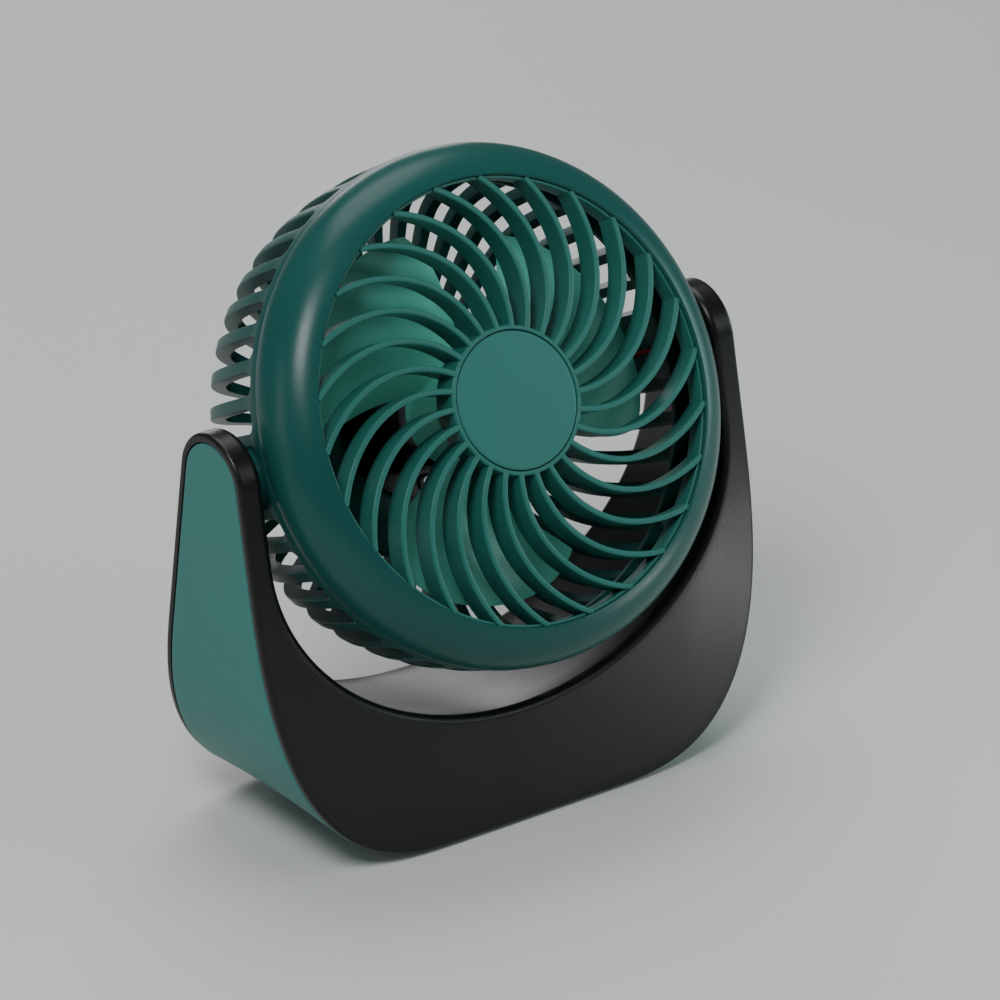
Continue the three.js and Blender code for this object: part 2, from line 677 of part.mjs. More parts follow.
function addHead() {
  add(head, "front_bezel", frontBezel(), colours.greenDeep);
  add(head, "front_grille", frontGrille(), colours.green);
  const capPairs = [
    [0, -30], [14, -29.95], [18.8, -29.7], [capRadius, -29.3], [capRadius, -27.8], [0, -27.8],
  ];
  add(head, "hub_cap", turned(capPairs), colours.green);
  add(head, "rear_cage", rearCage(), colours.green);
  framePlaces.forEach((a, i) => {
    const shape = aroundAxis(screw(8).translate(0, -9.3, 0), a, frameRadius);
    add(head, `frame_screw_${i + 1}`, shape, colours.zinc);
  });
  const washer = alongX(turned(ringPairs(1.5, 6.6, 80.5, 81.1), coarse)).rotateZ(Math.PI);
  add(head, "pivot_washer_left", washer, colours.steel);
  const pivotScrew = alongX(screw(8, 3.2, 1.3).translate(0, 81.4, 0)).rotateZ(Math.PI);
  add(head, "pivot_screw_left", pivotScrew, colours.zinc);
  const clip = alongX(turned(ringPairs(spigotRadius + gap, 6.6, 80, 80.8), coarse));
  add(head, "pivot_clip_right", clip, colours.steel);
  const rearCap = [[0, 34.3], [23, 34.3], [24, 35], [23.4, 36.4], [20, 37.4], [0, 38]];
  add(head, "rear_cap", turned(rearCap), colours.greenDeep);
  addMotor();
}

function addMotor() {
  const bracket = turned([
    [motorRadius + gap, 14], [motorRadius + 1.9, 14], [motorRadius + 1.9, 28], [21, 28], [21, 30.9],
    [5, 30.9], [5, 29.6], [motorRadius + gap, 29.6], [motorRadius + gap, 14],
  ], fine);
  const holes = bracketPlaces.map((a) => {
    return aroundAxis(turned(discPairs(screwHole, 26, 32), 20), a, bracketScrewRadius);
  });
  add(head, "motor_bracket", cut(bracket, ...holes), colours.black);
  bracketPlaces.forEach((a, i) => {
    const shape = screw(5).rotateX(Math.PI).translate(0, 27.7, 0);
    add(head, `bracket_screw_${i + 1}`, aroundAxis(shape, a, bracketScrewRadius), colours.zinc);
  });
  const can = turned([
    [4.4, 8], [motorRadius - 1, 8], [motorRadius, 9], [motorRadius, 25.6], [0, 25.6], [0, 9.4],
    [4.4, 9.4], [4.4, 8],
  ], fine);
  add(head, "motor_can", can, colours.zinc);
  add(head, "motor_end_bell", turned(discPairs(motorRadius - 0.4, 25.9, 29.3), fine), colours.black);
  const bearing = turned([[1.3, 5.4], [4, 5.4], [4, 9], [1.3, 9], [1.3, 5.4]], coarse);
  add(head, "motor_bearing", bearing, colours.brass);
  const shaftPairs = [[0, -11.5], [0.7, -11.5], [1, -11.1], [1, 9.1], [0, 9.1]];
  add(head, "motor_shaft", turned(shaftPairs, 24), colours.steel);
  add(head, "impeller", impeller(), colours.greenBright);
  const motorLead = lead([
    [22.2, 26, 0], [32, 27.2, 0], [46, 26.6, 0], [56, 22, 0], [61.5, 14, 0], [63.5, 6, 0], [65.5, 0.8, 0],
    [69, 0, 0], [75, 0, 0],
  ], 0.8);
  add(head, "motor_lead", motorLead, colours.lead);
}

addStand();
addHead();

export default root;
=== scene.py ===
import math
import bmesh
import bpy
import numpy as np
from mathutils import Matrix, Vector


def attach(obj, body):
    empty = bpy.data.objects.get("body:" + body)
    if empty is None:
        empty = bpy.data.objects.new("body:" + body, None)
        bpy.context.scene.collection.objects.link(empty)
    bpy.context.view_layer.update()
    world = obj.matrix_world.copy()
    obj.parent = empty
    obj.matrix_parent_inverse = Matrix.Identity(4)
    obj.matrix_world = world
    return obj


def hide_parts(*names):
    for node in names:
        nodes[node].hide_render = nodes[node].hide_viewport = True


# Desk fan: a round head behind a swirl grille, held by its sides in a U-shaped stand.
# Shapes are worked out in millimetres and scaled to metres when the mesh is made.
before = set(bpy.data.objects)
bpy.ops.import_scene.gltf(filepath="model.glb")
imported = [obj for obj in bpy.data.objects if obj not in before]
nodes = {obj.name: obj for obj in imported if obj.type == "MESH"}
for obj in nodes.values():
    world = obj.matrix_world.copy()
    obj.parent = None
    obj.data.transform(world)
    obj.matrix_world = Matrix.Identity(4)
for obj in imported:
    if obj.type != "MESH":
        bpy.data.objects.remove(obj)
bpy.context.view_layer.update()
print("frame loaded:", len(nodes), "nodes")

mm = 0.001
fullTurn = 2 * math.pi
weldDistance, flatDistance = 2e-6, 1e-7     # metres
headSharp, standSharp = 38, 32              # degrees past which an edge stays sharp
pivot = {"y": 3.2, "z": 111.5, "tilt": math.radians(27.6)}     # where the head hangs, and how far it leans


# Faces of a grid of rows x columns points, numbered row by row; a closed direction wraps round.
def gridFaces(rows, columns, wrapRows=False, wrapColumns=False):
    i, j = np.meshgrid(np.arange(rows if wrapRows else rows - 1),
                       np.arange(columns if wrapColumns else columns - 1), indexing="ij")
    iNext, jNext = (i + 1) % rows, (j + 1) % columns
    quads = np.stack([i * columns + j, i * columns + jNext, iNext * columns + jNext, iNext * columns + j], -1)
    return quads.reshape(-1, 4)


# Joins parts (points, faces) into one: face numbers go up by the count of points before them.
def joinParts(parts):
    counts = np.cumsum([0] + [len(points) for points, faces in parts[:-1]])
    return (np.concatenate([points for points, faces in parts]),
            np.concatenate([faces + count for (points, faces), count in zip(parts, counts)]))


# A grid of points (rows, columns, 3) as one part. A lid closes an end row with faces to its middle.
def gridPart(points, wrapRows=False, wrapColumns=False, lids=False):
    rows, columns = points.shape[:2]
    parts = [(points.reshape(-1, 3), gridFaces(rows, columns, wrapRows, wrapColumns))]
    if lids:
        for edge in (points[0], points[-1]):
            middle = np.broadcast_to(edge.mean(0), edge.shape)
            parts.append((np.stack([edge, middle]).reshape(-1, 3), gridFaces(2, columns, wrapColumns=True)))
    return joinParts(parts)


# Welds the seams and poles of a mesh and turns every closed shell outwards.
def settleMesh(mesh, dropFlat=True):
    surface = bmesh.new()
    surface.from_mesh(mesh)
    bmesh.ops.remove_doubles(surface, verts=surface.verts, dist=weldDistance)
    if dropFlat:
        bmesh.ops.dissolve_degenerate(surface, edges=surface.edges, dist=flatDistance)
    bmesh.ops.recalc_face_normals(surface, faces=surface.faces)
    surface.to_mesh(mesh)
    surface.free()


# Smooth shading, with the edges that bend by more than the given degrees kept sharp.
def smoothMesh(mesh, sharp):
    mesh.shade_smooth()
    mesh.set_sharp_from_angle(angle=math.radians(sharp))


# Makes a mesh object from parts in millimetres and puts it on its body, in its slot.
def makePiece(name, parts, body, replaced, material, sharp=headSharp):
    points, faces = joinParts(parts)
    mesh = bpy.data.meshes.new(name)
    mesh.vertices.add(len(points))
    mesh.vertices.foreach_set("co", (points * mm).astype(np.float32).ravel())
    mesh.loops.add(faces.size)
    mesh.loops.foreach_set("vertex_index", faces.astype(np.int32).ravel())
    mesh.polygons.add(len(faces))
    mesh.polygons.foreach_set("loop_start", np.arange(0, faces.size, 4, dtype=np.int32))
    mesh.update(calc_edges=True)
    settleMesh(mesh)
    smoothMesh(mesh, sharp)
    piece = bpy.data.objects.new(name, mesh)
    bpy.context.scene.collection.objects.link(piece)
    mesh.materials.append(material)
    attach(piece, body)
    if replaced:
        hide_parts(*replaced)
    return piece


# Rounds the corners of a closed outline: each corner (a, b, radius) becomes an arc that touches both sides.
def roundedLoop(corners, steps=6):
    corners = np.asarray(corners, float)
    place, radius = corners[:, :2], corners[:, 2]
    toBefore = np.roll(place, 1, 0) - place
    toAfter = np.roll(place, -1, 0) - place
    toBefore /= np.linalg.norm(toBefore, axis=1)[:, None]
    toAfter /= np.linalg.norm(toAfter, axis=1)[:, None]
    straight = 0.9999     # keeps a corner off quite straight and quite folded
    half = np.arccos(np.clip((toBefore * toAfter).sum(1), -straight, straight)) / 2
    reach = (radius / np.tan(half))[:, None]
    bisector = toBefore + toAfter
    bisector /= np.linalg.norm(bisector, axis=1)[:, None]
    centre = place + bisector * (radius / np.sin(half))[:, None]
    start = place + toBefore * reach - centre
    end = place + toAfter * reach - centre
    share = np.linspace(0, 1, steps + 1)[None, :, None]
    span = (math.pi - 2 * half)[:, None, None]
    arc = (np.sin((1 - share) * span) * start[:, None] + np.sin(share * span) * end[:, None]) / np.sin(span)
    return (centre[:, None] + arc).reshape(-1, 2)


# Smooth line through the given points: a Catmull-Rom curve, each span cut into the given steps.
def smoothLine(points, steps):
    points = np.asarray(points, float)
    ends = np.vstack([2 * points[0] - points[1], points, 2 * points[-1] - points[-2]])
    share = np.linspace(0, 1, steps, endpoint=False)[None, :, None]
    a, b, c, d = (ends[k:k + len(points) - 1, None] for k in range(4))
    line = 0.5 * (2 * b + (c - a) * share + (2 * a - 5 * b + 4 * c - d) * share ** 2
                  + (3 * b - a - 3 * c + d) * share ** 3)
    return np.vstack([line.reshape(-1, points.shape[1]), points[-1:]])


# Carries a closed outline of (radius, along) once round the Y axis: x = r cos a, y = along, z = r sin a.
# Faces that would lie wholly on the axis are left out, so the poles weld shut.
def turned(outline, steps):
    angle = np.linspace(0, fullTurn, steps, endpoint=False)[:, None]
    r, along = np.array(outline, float).T
    grid = np.stack([r * np.cos(angle), along + 0 * angle, r * np.sin(angle)], -1)
    points, faces = gridPart(grid, wrapRows=True, wrapColumns=True)
    onAxis = np.hypot(points[:, 0], points[:, 2]) == 0
    return points, faces[~onAxis[faces].all(1)]


# The same lying along X, on one side: the outline's along value is the distance out from the middle.
def turnedSideways(outline, steps, side):
    points, faces = turned(outline, steps)
    return np.stack([side * points[:, 1], points[:, 0], points[:, 2]], -1), faces


# The same standing up: the outline's along value is the height.
def turnedUpright(outline, steps, x, y):
    points, faces = turned(outline, steps)
    return np.stack([points[:, 0] + x, points[:, 2] + y, points[:, 1]], -1), faces


# Rounded rectangle of half sizes (a, b) and corner radius c, as a closed outline.
def roundedBox(a, b, c, steps=6):
    return roundedLoop([(-a, -b, c), (a, -b, c), (a, b, c), (-a, b, c)], steps)


# Stacks rounded rectangles along Y: each row is (half width, half height, corner, y).
def boxStack(rows, steps=6):
    loops = [roundedBox(a, b, c, steps) for a, b, c, y in rows]
    points = np.stack([np.stack([loop[:, 0], 0 * loop[:, 0] + row[3], loop[:, 1]], -1)
                       for loop, row in zip(loops, rows)])
    return gridPart(points, wrapColumns=True, lids=True)


# The same stacked along Z.
def boxPile(rows, steps=6):
    points, faces = boxStack(rows, steps)
    return points[:, [0, 2, 1]], faces


# Moves a part by (x, y, z).
def shifted(part, x=0.0, y=0.0, z=0.0):
    return part[0] + np.array([x, y, z]), part[1]


# Moves a part from the head's own frame (front towards -Y, origin on the tilt axis) to its place.
def onHead(part):
    points, faces = part
    c, s = math.cos(pivot["tilt"]), math.sin(pivot["tilt"])
    x, y, z = points.T
    return np.stack([x, pivot["y"] + y * c + z * s, pivot["z"] - y * s + z * c], -1), faces


# A moulded or plated surface: base colour drifting over two noise sizes, fine grain in the bump and
# gloss, and small rubbed specks that are lighter than the rest.
def makeFinish(name, look):
    material = bpy.data.materials.new(name)
    material.use_nodes = True
    tree = material.node_tree
    shader = tree.nodes["Principled BSDF"]
    shader.inputs["Metallic"].default_value = look.get("metal", 0.0)
    shader.inputs["IOR"].default_value = 1.46
    shader.inputs["Specular IOR Level"].default_value = look.get("shine", 0.5)
    shader.inputs["Coat Weight"].default_value = look.get("coat", 0.0)
    shader.inputs["Coat Roughness"].default_value = 0.3
    shader.inputs["Transmission Weight"].default_value = look.get("clear", 0.0)
    coords = tree.nodes.new("ShaderNodeTexCoord")
    mapping = tree.nodes.new("ShaderNodeMapping")
    mapping.inputs["Scale"].default_value = look.get("stretch", (1, 1, 1))
    tree.links.new(coords.outputs["Object"], mapping.inputs["Vector"])

    def noise(scale, detail, rough=0.55):
        node = tree.nodes.new("ShaderNodeTexNoise")
        node.inputs["Scale"].default_value = scale
        node.inputs["Detail"].default_value = detail
        node.inputs["Roughness"].default_value = rough
        tree.links.new(mapping.outputs["Vector"], node.inputs["Vector"])
        return node.outputs["Fac"]

    # noise mostly lies between 0.3 and 0.7
    def ranged(value, toLow, toHigh, low=0.3, high=0.7):
        node = tree.nodes.new("ShaderNodeMapRange")
        for socket, number in zip(("From Min", "From Max", "To Min", "To Max"), (low, high, toLow, toHigh)):
            node.inputs[socket].default_value = number
        tree.links.new(value, node.inputs["Value"])
        return node.outputs["Result"]

    def mixed(factor, first, second):
        node = tree.nodes.new("ShaderNodeMix")
        node.data_type = "RGBA"
        for socket, given in ((node.inputs[0], factor), (node.inputs[6], first), (node.inputs[7], second)):
            if isinstance(given, bpy.types.NodeSocket):
                tree.links.new(given, socket)
            else:
                socket.default_value = (*given, 1)
        return node.outputs[2]

    base, drift = look["colour"], look.get("drift", 0.12)
    deep = tuple(c * (1 - drift) for c in base)
    pale = tuple(min(c * (1 + drift), 1) for c in base)
    worn = look.get("worn", tuple(min(c * 1.5 + 0.02, 1) for c in base))
    broad = noise(look.get("broad", 18), 2)
    grain = noise(look.get("grain", 2600), 3, 0.6)
    specks = ranged(noise(420, 4, 0.7), 0, look.get("wear", 0.25), 0.66, 0.74)
    colour = mixed(ranged(broad, 0, 1), deep, pale)
    colour = mixed(ranged(grain, 0, 0.35), colour, base)
    tree.links.new(mixed(specks, colour, worn), shader.inputs["Base Color"])

    rough, spread = look.get("rough", 0.4), 0.05
    total = tree.nodes.new("ShaderNodeMath")
    total.operation = "ADD"
    tree.links.new(ranged(broad, rough - spread, rough + spread), total.inputs[0])
    tree.links.new(ranged(grain, -spread * 0.8, spread * 0.8), total.inputs[1])
    tree.links.new(total.outputs[0], shader.inputs["Roughness"])

    bump = tree.nodes.new("ShaderNodeBump")
    bump.inputs["Strength"].default_value = look.get("bump", 0.12)
    bump.inputs["Distance"].default_value = look.get("bumpDepth", 0.00004)
    tree.links.new(grain, bump.inputs["Height"])
    tree.links.new(bump.outputs["Normal"], shader.inputs["Normal"])
    return material


finishes = {
    "ringGreen": {"colour": (0.0085, 0.074, 0.066), "rough": 0.30, "shine": 0.28, "bump": 0.10,
                  "drift": 0.06, "wear": 0.12},
    "grilleGreen": {"colour": (0.016, 0.130, 0.110), "rough": 0.34, "shine": 0.32, "bump": 0.10,
                    "drift": 0.06, "wear": 0.12},
    "capGreen": {"colour": (0.024, 0.148, 0.130), "rough": 0.46, "shine": 0.3, "bump": 0.10,
                 "drift": 0.05, "wear": 0.10},
    "cageGreen": {"colour": (0.009, 0.072, 0.064), "rough": 0.36, "shine": 0.32, "bump": 0.10,
                  "drift": 0.06, "wear": 0.12},
    "panelGreen": {"colour": (0.044, 0.190, 0.172), "rough": 0.46, "shine": 0.22, "bump": 0.12,
                   "drift": 0.05, "wear": 0.10},
    "bladeGreen": {"colour": (0.130, 0.640, 0.500), "rough": 0.34, "shine": 0.35, "bump": 0.06,
                   "drift": 0.08, "wear": 0.10},
    "standBlack": {"colour": (0.0062, 0.0066, 0.0066), "rough": 0.33, "shine": 0.36, "bump": 0.14,
                   "drift": 0.12, "wear": 0.08, "worn": (0.03, 0.03, 0.03)},
    "padRubber": {"colour": (0.014, 0.014, 0.014), "rough": 0.78, "bump": 0.5, "bumpDepth": 0.0001,
                  "grain": 1500, "drift": 0.25},
    "buttonBlack": {"colour": (0.013, 0.014, 0.014), "rough": 0.5, "bump": 0.25, "drift": 0.15},
    "sleeveBlue": {"colour": (0.05, 0.14, 0.36), "rough": 0.3, "bump": 0.2, "grain": 700, "drift": 0.08},
    "plainSteel": {"colour": (0.6, 0.6, 0.61), "metal": 1.0, "rough": 0.32, "stretch": (1, 1, 6),
                   "grain": 900, "bump": 0.2, "drift": 0.08},
    "zincPlate": {"colour": (0.55, 0.56, 0.57), "metal": 1.0, "rough": 0.4, "grain": 1400, "bump": 0.25,
                  "drift": 0.12},
    "drawnCan": {"colour": (0.45, 0.46, 0.47), "metal": 1.0, "rough": 0.38, "stretch": (1, 5, 1),
                 "grain": 800, "bump": 0.22, "drift": 0.1},
    "castWeight": {"colour": (0.2, 0.2, 0.2), "metal": 0.7, "rough": 0.62, "grain": 700, "bump": 0.7,
                   "bumpDepth": 0.00012, "drift": 0.25},
    "boardGreen": {"colour": (0.02, 0.12, 0.05), "rough": 0.28, "coat": 0.4, "grain": 1800, "bump": 0.15},
    "lampClear": {"colour": (0.75, 0.8, 0.8), "rough": 0.3, "clear": 0.55, "bump": 0.1, "drift": 0.04},
    "nylonPale": {"colour": (0.75, 0.74, 0.7), "rough": 0.5, "bump": 0.25, "drift": 0.05, "clear": 0.05},
    "sinteredBrass": {"colour": (0.7, 0.52, 0.22), "metal": 1.0, "rough": 0.48, "grain": 1700, "bump": 0.5,
                      "drift": 0.15},
    "leadRed": {"colour": (0.3, 0.03, 0.02), "rough": 0.5, "bump": 0.25, "drift": 0.1},
    "goldContact": {"colour": (0.8, 0.58, 0.2), "metal": 1.0, "rough": 0.25, "grain": 900, "bump": 0.1},
    "chipBlack": {"colour": (0.018, 0.018, 0.02), "rough": 0.45, "bump": 0.3, "grain": 2200, "drift": 0.15},
}
finish = {name: makeFinish(name, look) for name, look in finishes.items()}

# finish of every node that keeps its own mesh
keptNodes = {
    "standBlack": ["battery_cradle", "motor_bracket", "motor_end_bell"],
    "chipBlack": ["control_chip"],
    "sleeveBlue": ["battery_cell"],
    "plainSteel": ["battery_tab_minus", "battery_tab_plus", "tact_switch", "stop_pin", "pivot_washer_left",
                   "pivot_clip_right", "motor_shaft"],
    "zincPlate": ["pivot_screw_left"] + [f"cover_screw_{k}" for k in range(1, 5)]
                 + [f"frame_screw_{k}" for k in range(1, 5)] + [f"bracket_screw_{k}" for k in range(1, 4)],
    "drawnCan": ["motor_can"],
    "castWeight": ["ballast_left", "ballast_right"],
    "boardGreen": ["control_board"],
    "nylonPale": ["pivot_bush_left", "pivot_bush_right"],
    "sinteredBrass": ["motor_bearing"],
    "leadRed": ["stand_lead", "motor_lead"],
}
for name, members in keptNodes.items():
    for member in members:
        mesh = nodes[member].data
        mesh.materials.clear()
        mesh.materials.append(finish[name])
print("materials made:", len(finish))


# outlines in the head's frame are (radius, along), and -along is towards the front
ring = {
    "major": 59.5, "minor": 14.0, "centreY": -15.3, "wall": 2.2, "opening": 62.85, "steps": 256,
    "lipAngle": math.radians(74), "backAngle": math.radians(-2), "outerSteps": 30, "innerSteps": 14,
    "lip": [(62.85, -25.6), (62.85, -28.05), (62.93, -28.3), (63.15, -28.52)],
    "backEdge": [(73.45, -12.5), (73.2, -12.0), (71.5, -12.0)],
    "boss": [(1.4, -23.2, 0), (2.5, -23.2, 0.2), (2.5, -12.2, 0.2), (1.4, -12.2, 0)],
    "bossPlaces": (45, 135, 225, 315), "bossReach": 66.8, "bossSteps": 24,
}


# Hollow ring: a circle of radius minor about (major, centreY), from the front lip out to the back edge,
# and the same circle less the wall on the way back. Four screw bosses stand inside it.
def buildRing():
    def circle(radius, first, last, steps):
        angle = np.linspace(first, last, steps)
        return np.stack([ring["major"] + radius * np.cos(angle),
                         ring["centreY"] - radius * np.sin(angle)], -1)

    innerRadius = ring["minor"] - ring["wall"]
    innerEnd = math.acos((ring["opening"] + ring["wall"] - ring["major"]) / innerRadius)
    outer = circle(ring["minor"], ring["lipAngle"], ring["backAngle"], ring["outerSteps"])
    inner = circle(innerRadius, 0, innerEnd, ring["innerSteps"])
    parts = [turned(np.vstack([ring["lip"], outer, ring["backEdge"], inner]), ring["steps"])]
    for degrees in ring["bossPlaces"]:
        a = math.radians(degrees)
        boss = turned(roundedLoop(ring["boss"]), ring["bossSteps"])
        parts.append(shifted(boss, ring["bossReach"] * math.cos(a), 0, ring["bossReach"] * math.sin(a)))
    makePiece("frontRing", [onHead(p) for p in parts], "head", ["front_bezel"],
              finish["ringGreen"])


grille = {
    "ribs": 26, "width": 1.95, "backWidth": 1.45, "round": 0.42, "steps": 56,
    "phase": math.radians(6.3), "sweep": math.radians(31.6), "power": 1.55, "start": 20.6, "end": 61.0,
    "inner": 20.2, "outer": 62.75, "hubFront": -29.75, "rimFront": -28.1, "domePower": 1.6, "back": -21.2,
    "hubSteps": 160, "rimSteps": 256,
    "hub": [(19.72, -29.72, 0.25), (21.0, -29.72, 0.5), (21.0, -21.2, 0.2), (17.5, -21.2, 0.2),
            (17.2, -25.3, 0.2), (0, -25.3, 0), (0, -27.5, 0), (19.72, -27.5, 0.1)],
    "rim": [(62.0, -27.4, 0.25), (62.75, -27.4, 0.1), (62.75, -25.2, 0.05), (63.9, -25.2, 0.2),
            (63.9, -23.4, 0.2), (62.75, -23.4, 0.05), (62.75, -21.2, 0.2), (62.0, -21.2, 0.2)],
}


# Turn of a swirl rib at radius r: sweep u^power, where u runs from 0 at the hub to 1 at the rim.
def ribTurn(r):
    u = np.maximum((r - grille["start"]) / (grille["end"] - grille["start"]), 0)
    return grille["sweep"] * u ** grille["power"]


# Ribs are a rounded section carried along r = inner..outer at angle phase + turn; the section's width is
# laid across the rib's own direction, and the front follows a shallow dome.
def buildGrille():
    halfFront, halfBack = grille["width"] / 2, grille["backWidth"] / 2
    section = roundedLoop([(-halfFront, 0, grille["round"]), (halfFront, 0, grille["round"]),
                           (halfBack, 1, 0), (-halfBack, 1, 0)], 5)
    atBack = section[:, 1] > 0.99
    u = np.linspace(0, 1, grille["steps"])
    r = grille["inner"] + (grille["outer"] - grille["inner"]) * u
    turn = ribTurn(r)
    slope = np.gradient(turn, r) * r
    front = grille["hubFront"] + (grille["rimFront"] - grille["hubFront"]) * u ** grille["domePower"]
    start = grille["phase"] + np.arange(grille["ribs"]) / grille["ribs"] * fullTurn
    across = section[:, 0] / np.sqrt(1 + slope ** 2)[:, None]
    angle = start[:, None, None] + turn[:, None] + across / r[:, None]
    radius = r[:, None] - across * slope[:, None]
    y = np.where(atBack, grille["back"], front[:, None] + section[:, 1])
    points = np.stack([radius * np.cos(angle), np.broadcast_to(y, angle.shape), radius * np.sin(angle)], -1)
    parts = [gridPart(rib, wrapColumns=True, lids=True) for rib in points]
    parts += [turned(roundedLoop(grille["hub"]), grille["hubSteps"]),
              turned(roundedLoop(grille["rim"]), grille["rimSteps"])]
    makePiece("swirlGrille", [onHead(p) for p in parts], "head", ["front_grille"],
              finish["grilleGreen"])


cap = {"radius": 18.9, "front": -29.98, "fall": 0.2, "rings": 24, "steps": 160,
       "edge": [(19.15, -29.72), (19.33, -29.6), (19.4, -29.35), (19.4, -27.9), (19.2, -27.8), (0, -27.8)]}


# Flush disc in the middle of the grille: nearly flat, y = front + fall (r / R)^2, with a soft edge.
def buildCap():
    r = np.linspace(0, cap["radius"], cap["rings"])
    face = np.stack([r, cap["front"] + cap["fall"] * (r / cap["radius"]) ** 2], -1)
    disc = turned(np.vstack([face, cap["edge"]]), cap["steps"])
    makePiece("hubCap", [onHead(disc)], "head", ["hub_cap"], finish["capGreen"])


buildRing()
buildGrille()
buildCap()
print("ring, grille and cap made")


cage = {
    "ribs": 44, "depth": 4.2, "tipHalf": 3.35, "ribWidth": 3.75, "ribShare": 0.45, "leastHalf": 0.9,
    "edge": 0.55, "edgeRun": 1.5, "lead": 1.2, "sunk": 0.35, "taper": 0.35, "innerLeast": 0.6,
    "overlap": 0.015, "leastEdge": 0.02, "spanSteps": 12, "tipSteps": 12, "farSteps": 44, "edgeSteps": 6,
    "bandSteps": 264, "flangeSteps": 200, "discSteps": 176, "bossSteps": 56,
    "skin": [(73.1, -8.8), (71.9, 5), (69.6, 17), (66.3, 24.6), (60.8, 29.9), (51, 32.7), (36.5, 33.9)],
    "frontBand": [(69.2, -11.7, 0.2), (73.2, -11.7, 0.35), (73.1, -8.7, 0.02), (69.0, -8.7, 0.3)],
    "flange": [(63.5, -11.6, 0.2), (71, -11.6, 0.1), (71, -9.6, 0.1), (63.5, -9.6, 0.2)],
    "backDisc": [(0, 31.2, 0), (38.2, 31.2, 0.5), (38.2, 33.7, 0.8), (34, 34.1, 0.6), (25.4, 34.1, 0.4),
                 (25.0, 33.5, 0.3), (0, 33.5, 0)],
    "closedSlots": (-0.5, 0.5, 21.5, 22.5), "closedHalf": 0.55, "closedSunk": 0.5, "closedThick": 0.4,
    "boss": [(0, 67.5, 0), (9.0, 67.5, 0.2), (9.0, 76.6, 0.4), (4.6, 76.6, 0.3), (4.0, 77.2, 0.2),
             (4.0, 80.2, 0.4), (2.2, 80.2, 0.1), (2.2, 78.0, 0.2), (0, 78.0, 0)],
}
lug = {"outline": [(-1.4, 7.6, 0.3), (1.4, 7.6, 0.3), (1.4, 12.2, 0.6), (-1.4, 12.2, 0.6)],
       "x": (73.4, 74.0, 76.0, 76.3), "size": (0.9, 1.0, 1.0, 0.88)}


# One rib of the cage: a rounded section carried along the skin line. Near the front its half width grows
# as pitch / 2 - sqrt(t^2 - (t - d)^2), so that each slot ends in a half circle of radius t.
# Gives the turn, radius and y of every point of the section at every step.
def cageRib():
    line = smoothLine(cage["skin"], cage["spanSteps"])
    travelled = np.concatenate([[0], np.cumsum(np.linalg.norm(np.diff(line, axis=0), axis=1))])
    t = cage["tipHalf"]
    d = np.concatenate([[-cage["lead"]], t * (1 - np.cos(np.linspace(0, math.pi / 2, cage["tipSteps"]))),
                        np.linspace(t + 1, travelled[-1], cage["farSteps"])])
    r = np.interp(d, travelled, line[:, 0])
    y = np.interp(d, travelled, line[:, 1])
    y[0] -= cage["lead"]
    dr, dy = np.gradient(r, d), np.gradient(y, d)
    size = np.hypot(dr, dy)
    inR, inY = -dy / size, dr / size
    pitch = fullTurn / cage["ribs"] * r
    slotHalf = np.sqrt(np.maximum(t ** 2 - (t - np.clip(d, 0, t)) ** 2, 0))
    half = np.where(d < t, pitch / 2 - slotHalf, np.minimum(cage["ribWidth"], pitch * cage["ribShare"]) / 2)
    half = np.maximum(half, cage["leastHalf"])
    # ahead of the slots neighbouring ribs run into each other
    half = np.where(d <= 0, pitch / 2 + cage["overlap"], np.minimum(half, pitch / 2))
    edge = (cage["edge"] * np.clip(slotHalf / cage["edgeRun"], cage["leastEdge"], 1))[:, None]
    sunk = np.where(d < 0, cage["sunk"], 0.0)[:, None]
    # quarter arcs at the two outer corners, then a narrower inner side
    quarterTurn = np.linspace(0, math.pi / 2, cage["edgeSteps"])
    side = np.repeat([-1.0, 1.0], len(quarterTurn))
    along = np.concatenate([quarterTurn, quarterTurn[::-1]])
    outerAcross = side * (half[:, None] - edge * (1 - np.cos(along)))
    outerDeep = sunk + edge * (1 - np.sin(along))
    innerHalf = np.maximum(half - cage["taper"], cage["innerLeast"])[:, None]
    innerDeep = cage["depth"] - sunk
    across = np.concatenate([outerAcross, innerHalf, -innerHalf], 1)
    deep = np.concatenate([outerDeep, innerDeep, innerDeep], 1)
    return across / r[:, None], r[:, None] + inR[:, None] * deep, y[:, None] + inY[:, None] * deep


